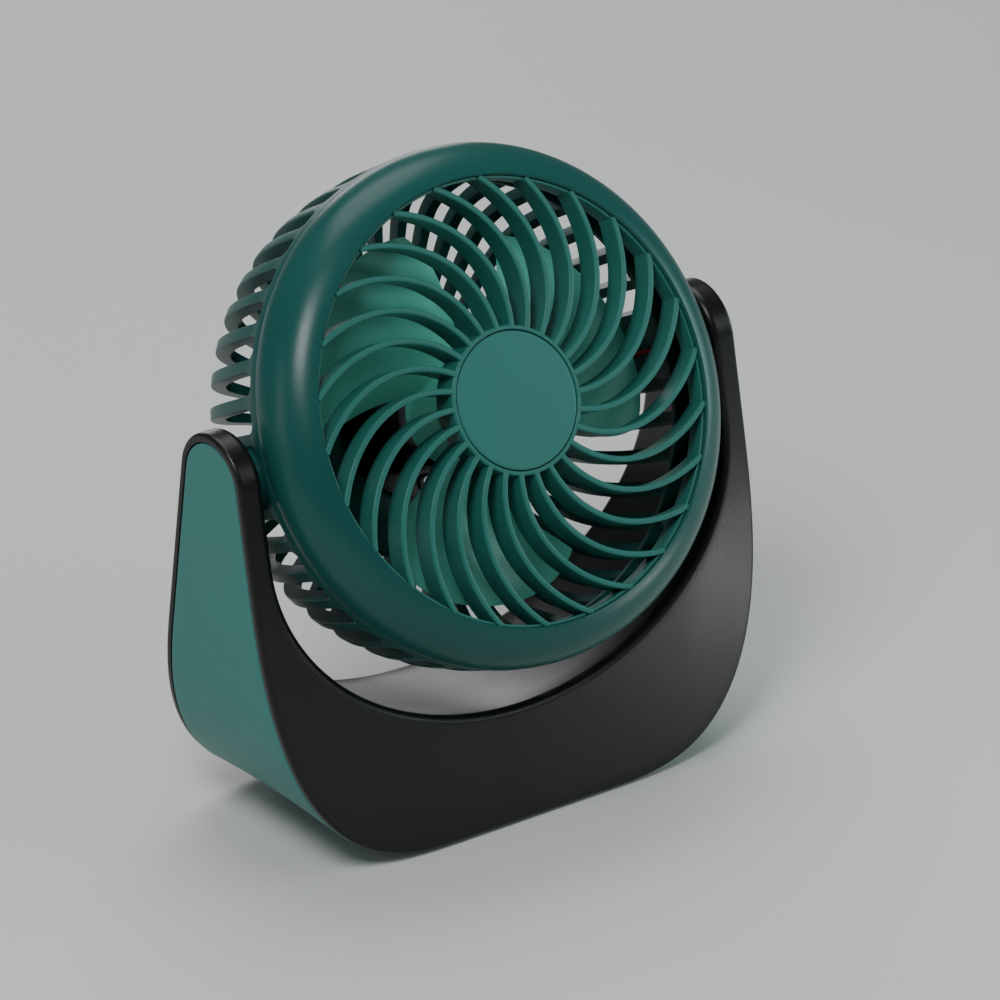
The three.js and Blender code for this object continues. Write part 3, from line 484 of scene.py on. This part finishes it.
# The cage is its ribs, closed slots at the two sides, a front band, a flange, a back disc and pivot bosses.
def buildCage():
    turn, ribR, ribY = cageRib()
    step = fullTurn / cage["ribs"]

    def swept(r, y, angle):
        return gridPart(np.stack([r * np.cos(angle), y, r * np.sin(angle)], -1), wrapColumns=True, lids=True)

    parts = [swept(ribR, ribY, k * step + turn) for k in range(cage["ribs"])]
    # the web in a closed slot lies a little below the ribs' outside and stops short of their inside
    edgeSteps = cage["edgeSteps"]
    behindBand, outside, inside = slice(1, 46), slice(edgeSteps - 1, edgeSteps), slice(-1, None)
    grow = np.linspace(-cage["closedHalf"], cage["closedHalf"], 5) * step
    flat = np.zeros_like(grow)
    webR = np.concatenate([ribR[behindBand, outside] - cage["closedSunk"] + flat,
                           ribR[behindBand, inside] + cage["closedThick"] + flat], 1)
    webY = np.concatenate([ribY[behindBand, outside] + flat, ribY[behindBand, inside] + flat], 1)
    webTurn = np.concatenate([grow, grow[::-1]])
    parts += [swept(webR, webY, k * step + webTurn) for k in cage["closedSlots"]]
    parts += [turned(roundedLoop(cage["frontBand"]), cage["bandSteps"]),
              turned(roundedLoop(cage["flange"]), cage["flangeSteps"]),
              turned(roundedLoop(cage["backDisc"]), cage["discSteps"])]
    parts += [turnedSideways(roundedLoop(cage["boss"]), cage["bossSteps"], side) for side in (-1, 1)]
    makePiece("slottedCage", [onHead(p) for p in parts], "head", ["rear_cage"],
              finish["cageGreen"])


# Stop lug: a rounded outline stacked along X, smaller at both ends.
def buildLug():
    outline = roundedLoop(lug["outline"])
    middle = outline.mean(0)
    size = np.array(lug["size"])[:, None, None]
    flat = (outline - middle) * size + middle
    x = np.broadcast_to(np.array(lug["x"])[:, None, None], flat[..., :1].shape)
    part = gridPart(np.concatenate([x, flat], -1), wrapColumns=True, lids=True)
    makePiece("stopLug", [onHead(part)], "head", [], finish["cageGreen"])


rearCap = {"outline": [(0, 34.3, 0), (23.4, 34.3, 0.3), (24.0, 35.0, 0.3), (23.6, 36.6, 0.7),
                       (20.6, 37.6, 0.6), (17.6, 37.75, 0.15), (17.4, 37.25, 0.15), (16.8, 37.25, 0.15),
                       (16.6, 37.8, 0.15), (0, 38.0, 0)],
           "steps": 144}


# Round cover on the back: a flat face with one shallow ring groove and a soft shoulder.
def buildRearCap():
    cover = turned(roundedLoop(rearCap["outline"]), rearCap["steps"])
    makePiece("rearCap", [onHead(cover)], "head", ["rear_cap"], finish["ringGreen"])


buildCage()
buildLug()
buildRearCap()
print("cage made")


fan = {
    "root": 13, "radius": 55, "blades": 3, "start": math.radians(2), "sweep": math.radians(16),
    "half": 27, "halfGrowth": 13, "midY": -4.0, "rise": 7.6, "riseLoss": 2.2, "hollow": 1.6,
    "tipThick": 0.28, "rootThick": 0.5, "edgeThick": 0.02, "tipRound": 0.07, "halfWave": 0.62,
    "rows": 34, "columns": 44, "hubSteps": 96,
    "hub": [(0, -14.4, 0), (9, -14.0, 2.0), (12.6, -12.4, 2.0), (14.3, -9.6, 1.5), (14.6, 6, 0.5),
            (12.8, 6, 0.3), (12.6, -9.4, 1.0), (11, -11.6, 1.0), (3.4, -11.8, 0.3), (3.4, 3.4, 0.3),
            (1.3, 3.4, 0.2), (1.3, -13, 0.1), (0, -13, 0)],
}


# Blade: a sheet over (u out, v across). Angle = start + half(u) v + sweep u, height = (rise - loss u) v
# - hollow (1 - v^2), and the thickness closes to an edge all round as sqrt((1 - v^8) (1 - u^16)).
def bladeSkin(index, side):
    u, v = np.meshgrid(np.linspace(0, 1, fan["rows"]), np.linspace(-1, 1, fan["columns"]), indexing="ij")
    roundedTip = 1 - fan["tipRound"] * v ** 4 * np.maximum(2 * u - 1, 0)
    r = fan["root"] + (fan["radius"] - fan["root"]) * u * roundedTip
    half = np.radians(fan["half"] + fan["halfGrowth"] * np.sin(u * math.pi * fan["halfWave"]))
    angle = index / fan["blades"] * fullTurn + fan["start"] + half * v + fan["sweep"] * u
    closing = np.sqrt(np.maximum(1 - v ** 8, 0)) * np.sqrt(np.maximum(1 - u ** 16, 0))
    thick = (fan["tipThick"] + fan["rootThick"] * (1 - u)) * closing + fan["edgeThick"]
    y = fan["midY"] + (fan["rise"] - fan["riseLoss"] * u) * v - fan["hollow"] * (1 - v * v) + side * thick
    return np.stack([r * np.cos(angle), y, r * np.sin(angle)], -1)


# The fan is three blades, each two skins joined at tip and root, on a hollow hub.
def buildFan():
    parts = []
    for index in range(fan["blades"]):
        front, back = bladeSkin(index, -1), bladeSkin(index, 1)
        parts.append(gridPart(np.concatenate([front, back[:, ::-1]], 1), wrapColumns=True))
        parts += [gridPart(np.stack([front[end], back[end]])) for end in (0, -1)]
    parts.append(turned(roundedLoop(fan["hub"]), fan["hubSteps"]))
    makePiece("fanRotor", [onHead(p) for p in parts], "fan", ["impeller"], finish["bladeGreen"])


buildFan()
print("fan made")


stand = {
    "halfWidth": 85.0, "armRadius": 14.7, "armZ": 113.5, "bottomZ": 1.0,
    "frontLean": math.radians(11.41), "rearLean": math.radians(8.18),
    "frontCorner": (58.6, 90.0, 2.755), "rearCorner": (66.0, 66.0, 2.6),     # width, height, power
    "channelHalfWidth": 77.1, "channelHalfHeight": 59.9, "channelZ": 93.2,
    "floorSteps": 14, "cornerSteps": 56, "sideSteps": 14, "topSteps": 34, "fineSteps": 721,
}


# Depth of the stand's front face at height z: it leans out below the arm's round top by tan(lean).
def frontY(z):
    lean = stand["frontLean"]
    return pivot["y"] - stand["armRadius"] / math.cos(lean) - math.tan(lean) * (stand["armZ"] - z)


# Depth of its rear face, in the same way.
def rearY(z):
    lean = stand["rearLean"]
    return pivot["y"] + stand["armRadius"] / math.cos(lean) + math.tan(lean) * (stand["armZ"] - z)


# Half outline of the U as (x, z): floor, superellipse corner (x / rx)^n + (z / rz)^n = 1 and straight
# side up to the given height, each evened out along its length.
def sideOutline(corner, topZ):
    rx, rz, power = corner
    base = stand["bottomZ"]
    a = np.linspace(math.pi / 2, 0, stand["fineSteps"])
    x = stand["halfWidth"] - rx + rx * np.maximum(np.cos(a), 0) ** (2 / power)
    z = base + rz - rz * np.maximum(np.sin(a), 0) ** (2 / power)
    length = np.concatenate([[0], np.cumsum(np.hypot(np.diff(x), np.diff(z)))])
    even = np.linspace(0, length[-1], stand["cornerSteps"] + 1)
    floorX = np.linspace(0, stand["halfWidth"] - rx, stand["floorSteps"], endpoint=False)
    sideZ = np.linspace(base + rz, topZ, stand["sideSteps"] + 1)[1:]
    return np.concatenate([np.stack([floorX, base + 0 * floorX], -1),
                           np.stack([np.interp(even, length, x), np.interp(even, length, z)], -1),
                           np.stack([stand["halfWidth"] + 0 * sideZ, sideZ], -1)])


# Half outline of the channel as (x, z): a quarter ellipse, then straight up. Its stations keep the same
# share of its length as the outer outline's stations have of theirs.
def channelOutline(outer, topZ):
    lengths = np.concatenate([[0], np.cumsum(np.linalg.norm(np.diff(outer, axis=0), axis=1))])
    cornerEnd = stand["floorSteps"] + stand["cornerSteps"]
    share = np.clip(lengths / lengths[cornerEnd], 0, 1)
    a = np.linspace(math.pi / 2, 0, stand["fineSteps"])
    x = stand["channelHalfWidth"] * np.cos(a)
    z = stand["channelZ"] - stand["channelHalfHeight"] * np.sin(a)
    along = np.concatenate([[0], np.cumsum(np.hypot(np.diff(x), np.diff(z)))])
    inner = np.stack([np.interp(share * along[-1], along, x), np.interp(share * along[-1], along, z)], -1)
    inner[cornerEnd + 1:, 0] = stand["channelHalfWidth"]
    inner[cornerEnd + 1:, 1] = np.linspace(stand["channelZ"], topZ, stand["sideSteps"] + 1)[1:]
    return inner


# Stations along the U: from the middle of the floor, round the lower corner and up the arm to its top.
# Each gives the outer and channel edge in the front and rear plane, with the directions that the
# rounding of each edge runs in: along the face, and into the depth.
def standStations():
    lean, rearLean, radius = stand["frontLean"], stand["rearLean"], stand["armRadius"]
    armZ, sideSteps = stand["armZ"], stand["sideSteps"]
    frontTop = armZ + radius * math.sin(lean)
    rearTop = armZ + radius * math.sin(rearLean)
    outerFront = sideOutline(stand["frontCorner"], frontTop)
    outerRear = sideOutline(stand["rearCorner"], rearTop)
    innerFront = channelOutline(outerFront, frontTop)
    count = len(outerFront)

    def lifted(flat, y):
        return np.stack([flat[:, 0], y, flat[:, 1]], -1)

    frontOuter = lifted(outerFront, frontY(outerFront[:, 1]))
    rearOuter = lifted(outerRear, rearY(outerRear[:, 1]))
    frontInner = lifted(innerFront, frontY(innerFront[:, 1]))

    # the channel runs square to the front face until it meets the rear face
    fall, rise = math.tan(lean), math.tan(rearLean)
    reach = (rearY(innerFront[:, 1]) - frontInner[:, 1]) / (1 - fall * rise)
    rearInner = frontInner + reach[:, None] * np.array([0, 1, -fall])
    # on the arms its wall is upright, and its rear edge climbs evenly to the arm top
    onArm = slice(count - sideSteps, None)
    armEdge = np.linspace(rearInner[count - sideSteps - 1, 2], rearTop, sideSteps + 1)[1:]
    rearInner[onArm, 1], rearInner[onArm, 2] = rearY(armEdge), armEdge

    intoFront = np.tile([0, math.cos(lean), -math.sin(lean)], (count, 1))
    intoRear = np.tile([0, -math.cos(rearLean), -math.sin(rearLean)], (count, 1))

    # arm tops: the same edges carried round a circle about the tilt axis
    share = np.linspace(0, 1, stand["topSteps"] + 1)[1:]
    frontAngle = lean + share * (math.pi / 2 - lean)
    rearAngle = rearLean + share * (math.pi / 2 - rearLean)

    def arc(x, angle, sign):
        edge = [x + 0 * angle, pivot["y"] + sign * radius * np.cos(angle), armZ + radius * np.sin(angle)]
        inward = [0 * angle, -sign * np.cos(angle), -np.sin(angle)]
        return np.stack(edge, -1), np.stack(inward, -1)

    topFrontOuter, topIntoFront = arc(stand["halfWidth"], frontAngle, -1)
    topRearOuter, topIntoRear = arc(stand["halfWidth"], rearAngle, 1)
    frontOuter, rearOuter = np.vstack([frontOuter, topFrontOuter]), np.vstack([rearOuter, topRearOuter])
    frontInner = np.vstack([frontInner, arc(stand["channelHalfWidth"], frontAngle, -1)[0]])
    rearInner = np.vstack([rearInner, arc(stand["channelHalfWidth"], rearAngle, 1)[0]])
    intoFront, intoRear = np.vstack([intoFront, topIntoFront]), np.vstack([intoRear, topIntoRear])

    # direction from each edge into its face: square to the edge, pointing to the other edge
    def faceWay(edge, other, into):
        run = np.gradient(edge, axis=0)
        run[0] = (1, 0, 0)
        way = np.cross(run, into)
        way *= np.sign((way * (other - edge)).sum(1))[:, None]
        way /= np.maximum(np.linalg.norm(way, axis=1), 1e-9)[:, None]
        way[count - sideSteps:] = np.sign(other[-1, 0] - edge[-1, 0]) * np.array([1, 0, 0])
        return way

    rail = {
        "frontOuter": frontOuter, "frontInner": frontInner, "rearOuter": rearOuter, "rearInner": rearInner,
        "intoFront": intoFront, "intoRear": intoRear,
        "frontOuterWay": faceWay(frontOuter, frontInner, intoFront),
        "frontInnerWay": faceWay(frontInner, frontOuter, intoFront),
        "rearOuterWay": faceWay(rearOuter, rearInner, intoRear),
        "rearInnerWay": faceWay(rearInner, rearOuter, intoRear),
    }

    # mirrored to the left, so that the stations run from the left arm's top to the right arm's top
    flip = np.array([-1, 1, 1])
    return {name: np.concatenate([rows[:0:-1] * flip, rows]) for name, rows in rail.items()}


# Points at (along the face, into the depth) from an edge, for all stations at once.
def nearEdge(rail, corner, pairs):
    edge, way = rail[corner], rail[corner + "Way"]
    into = rail["intoFront" if "front" in corner else "intoRear"]
    pairs = np.asarray(pairs, float)
    return edge[:, None] + way[:, None] * pairs[None, :, :1] + into[:, None] * pairs[None, :, 1:]


# Quarter circle that rounds an edge, as (along, deep) pairs from the face side to the depth side.
def quarter(radius, steps=7):
    a = np.linspace(0, math.pi / 2, steps)
    return np.stack([radius * (1 - np.sin(a)), radius * (1 - np.cos(a))], -1)


# Evenly spaced points between the last point of one strip and the first of the next.
def between(before, after, steps):
    share = np.linspace(0, 1, steps + 2)[1:-1][None, :, None]
    return before[:, -1:] + (after[:, :1] - before[:, -1:]) * share


housing = {"edge": 1.1, "channelEdge": 2.6, "rim": 2.5, "step": 2.35, "wall": 2.3, "rimSoft": (0.06, 0.25),
           "bend": (0.4, 1.5), "faceSteps": 10, "channelSteps": 8, "channelEdgeSteps": 9}


# The black body is one C-shaped section carried round the U: rim, front face, channel, rear face, rim,
# and back along the inside of the walls.
def buildBody(rail):
    rim, step, wall = housing["rim"], housing["step"], housing["wall"]
    (near, soft), (tight, wide) = housing["rimSoft"], housing["bend"]
    faceSteps = housing["faceSteps"]
    outerEdge = quarter(housing["edge"])
    channelEdge = quarter(housing["channelEdge"], housing["channelEdgeSteps"])
    rimEdge = [(step, rim), (soft, rim), (near, rim - near), (0, rim - soft)]
    innerBend = [(wall + wide, rim), (wall + tight, rim + tight), (wall, rim + wide)]
    frontOuter = nearEdge(rail, "frontOuter", outerEdge[::-1])
    frontInner = nearEdge(rail, "frontInner", channelEdge)
    rearInner = nearEdge(rail, "rearInner", channelEdge[::-1])
    rearOuter = nearEdge(rail, "rearOuter", outerEdge)
    strips = [nearEdge(rail, "frontOuter", rimEdge), frontOuter, between(frontOuter, frontInner, faceSteps),
              frontInner, between(frontInner, rearInner, housing["channelSteps"]), rearInner,
              between(rearInner, rearOuter, faceSteps), rearOuter, nearEdge(rail, "rearOuter", rimEdge[::-1]),
              nearEdge(rail, "rearInner", innerBend), nearEdge(rail, "frontInner", innerBend[::-1])]
    return makePiece("standBody", [gridPart(np.concatenate(strips, 1), wrapColumns=True)], "base",
                     ["stand_body"], finish["standBlack"], standSharp)


band = {"groove": 0.35, "edge": 0.35, "thick": 2.0, "back": 1.0, "edgeSteps": 5, "outSteps": 12, "inSteps": 4}


# The green band lies in the recess of the body, flush with its rims, a groove's width away.
def buildCover(rail):
    start = housing["rim"] + band["groove"]
    rounded = [(along, start + deep) for along, deep in quarter(band["edge"], band["edgeSteps"])]
    front = nearEdge(rail, "frontOuter", [(band["thick"], start), *rounded])
    rear = nearEdge(rail, "rearOuter", [*rounded[::-1], (band["thick"], start)])
    behind = [(band["thick"], start + band["back"])]
    insideRear, insideFront = nearEdge(rail, "rearOuter", behind), nearEdge(rail, "frontOuter", behind)
    loops = np.concatenate([front, between(front, rear, band["outSteps"]), rear, insideRear,
                            between(insideRear, insideFront, band["inSteps"]), insideFront], 1)
    return makePiece("outerCover", [gridPart(loops, wrapColumns=True)], "base",
                     ["outer_cover"], finish["panelGreen"], standSharp)


# Cuts closed shapes out of a piece, then takes them away.
def cutFrom(piece, parts):
    cutters = []
    for points, faces in parts:
        mesh = bpy.data.meshes.new("cutter")
        mesh.from_pydata((points * mm).tolist(), [], faces.tolist())
        settleMesh(mesh, dropFlat=False)
        cutter = bpy.data.objects.new("cutter", mesh)
        bpy.context.scene.collection.objects.link(cutter)
        cutters.append(cutter)
        hole = piece.modifiers.new("hole", "BOOLEAN")
        hole.solver = "EXACT"
        hole.object = cutter
    graph = bpy.context.evaluated_depsgraph_get()
    cut = bpy.data.meshes.new_from_object(piece.evaluated_get(graph))
    piece.modifiers.clear()
    before = piece.data
    cut.name = before.name
    piece.data = cut
    bpy.data.meshes.remove(before)
    for cutter in cutters:
        bpy.data.objects.remove(cutter)
    smoothMesh(cut, standSharp)


# Moves a shape made along Y so that it stands square to the stand's leaning back, at (x, z) on it.
def onBack(part, x, z):
    points, faces = part
    c, s = math.cos(stand["rearLean"]), math.sin(stand["rearLean"])
    px, py, pz = points.T
    return np.stack([px + x, rearY(z) + py * c - pz * s, z + py * s + pz * c], -1), faces


# outlines on the back are (radius, along), with the stand's surface at 0 and its inside below it
button = {
    "x": 0.0, "z": 12.5, "dish": 3.9, "front": 0.65, "hollow": 0.4, "rings": 14, "steps": 80, "holeSteps": 72,
    "side": [(4.0, 1.1, 0.02), (5.0, 0.95, 0.55), (5.0, -2.6, 0.05), (6.2, -2.6, 0.1), (6.2, -3.6, 0.1),
             (1.6, -3.6, 0.05), (1.6, -4.4, 0.1)],
    "hole": [(0, -4.6), (6.6, -4.6), (6.6, -2.45), (5.3, -2.45), (5.3, -0.45), (5.8, 0.05), (5.8, 1), (0, 1)],
}
socket = {
    "x": -14.0, "z": 9.4, "contactPitch": 0.62, "contactHeight": 0.36,
    "shell": [(4.35, 1.55, 1.3, -6.5), (4.45, 1.65, 1.4, -6.4), (4.47, 1.67, 1.4, -0.1),
              (4.42, 1.62, 1.37, 0.02), (4.2, 1.4, 1.2, 0.02), (4.12, 1.32, 1.1, -0.1),
              (4.1, 1.3, 1.1, -5.6), (4.0, 1.2, 1.0, -5.8)],
    "tongue": [(3.1, 0.34, 0.1, -5.9), (3.1, 0.34, 0.1, -1.5), (3.0, 0.22, 0.1, -1.2)],
    "contact": [(0.14, 0.05, 0.02, -5.0), (0.14, 0.05, 0.02, -1.9)],
    "hole": [(4.8, 2.0, 1.45, -4), (4.8, 2.0, 1.45, -0.45), (5.3, 2.5, 1.9, 0.05), (5.3, 2.5, 1.9, 1)],
}
lamp = {
    "x": 12.0, "z": 12.5, "domeRadius": 1.248, "domeTop": 0.5, "domeFall": 0.4, "domePower": 2.4,
    "rings": 8, "steps": 48, "holeSteps": 40,
    "stem": [(1.3, 0.0), (1.3, -4.5), (1.2, -4.6), (0, -4.6)],
    "hole": [(0, -4), (1.6, -4), (1.6, -0.2), (1.85, 0.05), (1.85, 1), (0, 1)],
}
armHoles = {"pivot": [(0, 76.5), (6.9, 76.5), (6.3, 77.6), (6.3, 80.5), (0, 80.5)],
            "pin": [(0, 76.5), (1.6, 76.5), (1.6, 80.5), (0, 80.5)], "pinDrop": 11,
            "pivotSteps": 48, "pinSteps": 24}
underside = {
    "screws": [(-38, -22), (38, -22), (-38, 18), (38, 18)], "screwSteps": 40, "cornerSteps": 8,
    "screwHole": [(0, 0), (3.3, 0), (3.0, 1.3), (3.0, 2.65), (1.4, 2.66), (1.4, 5), (0, 5)],
    "padHole": [(27.4, 27.4, 5.4, 0), (27.3, 27.3, 5.3, 1.4), (27.3, 27.3, 5.3, 1.8)],
}
pad = {
    "half": 27.0, "corner": 5.0, "leastCorner": 0.6,
    "edge": [(0.7, 1.5), (0.15, 1.5), (0.0, 1.35), (0.0, 0.35), (0.12, 0.1), (0.4, 0.0)],     # inset, height
    "grooves": (3.0, 7.0, 11.0, 15.0, 19.0), "deep": 0.4, "wide": 0.9, "slant": 0.15,
}


# Holes in the back for button, socket and lamp, and in the arms for the pivots and the stop pin.
def bodyHoles():
    atPivot = {"y": pivot["y"], "z": pivot["z"]}
    atPin = {"y": pivot["y"], "z": pivot["z"] - armHoles["pinDrop"]}
    holes = [onBack(turned(button["hole"], button["holeSteps"]), button["x"], button["z"]),
             onBack(boxStack(socket["hole"]), socket["x"], socket["z"]),
             onBack(turned(lamp["hole"], lamp["holeSteps"]), lamp["x"], lamp["z"])]
    for side in (-1, 1):
        holes.append(shifted(turnedSideways(armHoles["pivot"], armHoles["pivotSteps"], side), **atPivot))
    holes.append(shifted(turnedSideways(armHoles["pin"], armHoles["pinSteps"], 1), **atPin))
    return holes


# Holes in the underside: counterbored screw holes and a shallow pocket for the foot pad.
def coverHoles():
    steps = underside["screwSteps"]
    return [*(turnedUpright(underside["screwHole"], steps, x, y) for x, y in underside["screws"]),
            boxPile(underside["padHole"], underside["cornerSteps"])]


# Push button: a shallow dish y = front + hollow (r / R)^2 inside a soft rim, on a collar and a stem.
def buildButton():
    r = np.linspace(0, button["dish"], button["rings"])
    face = np.stack([r, button["front"] + button["hollow"] * (r / button["dish"]) ** 2], -1)
    outline = np.vstack([face, roundedLoop(button["side"]), [(0, button["side"][-1][1])]])
    makePiece("powerButton", [onBack(turned(outline, button["steps"]), button["x"], button["z"])], "button",
              ["power_button"], finish["buttonBlack"])


# Charging socket: a drawn shell with a rolled lip, a tongue inside it and a row of contacts on each face.
def buildSocket():
    place = socket["x"], socket["z"]
    makePiece("socketShell", [onBack(boxStack(socket["shell"]), *place)], "base", ["usb_socket"],
              finish["plainSteel"])
    makePiece("socketTongue", [onBack(boxStack(socket["tongue"], 3), *place)], "base", [],
              finish["chipBlack"])
    contact, pitch, height = boxStack(socket["contact"], 2), socket["contactPitch"], socket["contactHeight"]
    contacts = [onBack(shifted(contact, k * pitch, 0, face * height), *place)
                for k in range(-4, 5) for face in (-1, 1)]
    makePiece("socketContacts", contacts, "base", [], finish["goldContact"])


# Indicator lamp: a rod with a low dome y = top - fall u^power, u from 0 in the middle to 1 at the edge.
def buildLamp():
    u = np.linspace(0, 1, lamp["rings"])
    dome = np.stack([u * lamp["domeRadius"],
                     lamp["domeTop"] - lamp["domeFall"] * u ** lamp["domePower"]], -1)
    rod = turned(np.vstack([dome, lamp["stem"]]), lamp["steps"])
    makePiece("lightPipe", [onBack(rod, lamp["x"], lamp["z"])], "base", ["light_pipe"],
              finish["lampClear"])


# Foot pad: rounded squares stacked by (inset, height), with square grooves in its underside.
def buildPad():
    rows = list(pad["edge"])
    for inset in pad["grooves"]:
        rows += [(inset, 0), (inset + pad["slant"], pad["deep"]), (inset + pad["wide"], pad["deep"]),
                 (inset + pad["wide"] + pad["slant"], 0)]
    half, corner, least = pad["half"], pad["corner"], pad["leastCorner"]
    sizes = [(half - inset, half - inset, max(corner - inset, least), height) for inset, height in rows]
    makePiece("footPad", [boxPile(sizes, underside["cornerSteps"])], "base",
              ["anti_slip_pad"], finish["padRubber"])


rails = standStations()
cutFrom(buildBody(rails), bodyHoles())
cutFrom(buildCover(rails), coverHoles())
buildButton()
buildSocket()
buildLamp()
buildPad()
print("stand made")


studio = {
    "floorHalf": 6, "sky": (0.8, 0.84, 0.84), "skyStrength": 0.16, "middle": (0, 0, 0.1),
    "floor": {"colour": (0.62, 0.63, 0.62), "rough": 0.7, "drift": 0.02, "bump": 0.02, "broad": 2,
              "wear": 0.0, "grain": 200},
}
# place and size in metres, power in watts
lights = {
    "keyLight": {"place": (-0.75, -0.5, 1.25), "size": (0.5, 0.5), "power": 13.5},
    "sideLight": {"place": (-1.3, 0.2, 0.5), "size": (0.5, 0.7), "power": 1.5},
    "rightLight": {"place": (0.8, -0.36, 0.24), "size": (0.3, 0.3), "power": 2.4, "colour": (0.7, 1.0, 0.97)},
    "frontLight": {"place": (0.20, -0.20, 0.016), "size": (0.06, 0.024), "power": 0.07,
                   "aim": (0.09, -0.03, 0.03)},
    "backLight": {"place": (0.45, 0.95, 0.2), "size": (0.4, 0.25), "power": 0.9},
    "glintLight": {"place": (0.5, -0.72, 0.55), "size": (0.2, 0.4), "power": 0.8},
    "topLight": {"place": (0.2, 0.5, 1.3), "size": (0.9, 0.9), "power": 9},
}
view = {"azimuth": math.radians(-36.397), "elevation": math.radians(26.365), "distance": 3.0,
        "target": (-0.00254, -0.01859, 0.09346), "lens": 389.5, "sensor": 36, "near": 0.05, "far": 50}


# Soft rectangular light that faces its aim; the camera sees its glow but not the light itself.
def buildSoftBox(name, look):
    data = bpy.data.lights.new(name, "AREA")
    data.shape = "RECTANGLE"
    data.size, data.size_y = look["size"]
    data.energy = look["power"]
    data.color = look.get("colour", (1, 1, 1))
    box = bpy.data.objects.new(name, data)
    bpy.context.scene.collection.objects.link(box)
    box.location = look["place"]
    box.rotation_mode = "QUATERNION"
    towards = Vector(look.get("aim", studio["middle"])) - Vector(look["place"])
    box.rotation_quaternion = towards.to_track_quat("-Z", "Y")
    box.visible_camera = False


# Flat square floor.
def buildFloor():
    half = studio["floorHalf"]
    mesh = bpy.data.meshes.new("studioFloor")
    corners = [(-half, -half, 0), (half, -half, 0), (half, half, 0), (-half, half, 0)]
    mesh.from_pydata(corners, [], [(0, 1, 2, 3)])
    floor = bpy.data.objects.new("studioFloor", mesh)
    bpy.context.scene.collection.objects.link(floor)
    mesh.materials.append(makeFinish("paleFloor", studio["floor"]))


# Even pale sky and the soft lights.
def buildLight():
    world = bpy.data.worlds.new("studio")
    world.use_nodes = True
    world.node_tree.nodes["Background"].inputs["Color"].default_value = (*studio["sky"], 1)
    world.node_tree.nodes["Background"].inputs["Strength"].default_value = studio["skyStrength"]
    bpy.context.scene.world = world
    for name, look in lights.items():
        buildSoftBox(name, look)


# The camera looks at its target from (sin a cos e, -cos a cos e, sin e) times its distance.
def buildCamera():
    data = bpy.data.cameras.new("camera")
    data.sensor_width = view["sensor"]
    data.lens = view["lens"]
    data.clip_start, data.clip_end = view["near"], view["far"]
    camera = bpy.data.objects.new("camera", data)
    bpy.context.scene.collection.objects.link(camera)
    a, e = view["azimuth"], view["elevation"]
    back = Vector((math.sin(a) * math.cos(e), -math.cos(a) * math.cos(e), math.sin(e)))
    camera.location = Vector(view["target"]) + back * view["distance"]
    camera.rotation_mode = "QUATERNION"
    camera.rotation_quaternion = (-back).to_track_quat("-Z", "Y")
    bpy.context.scene.camera = camera


buildFloor()
buildLight()
buildCamera()
print("studio made")
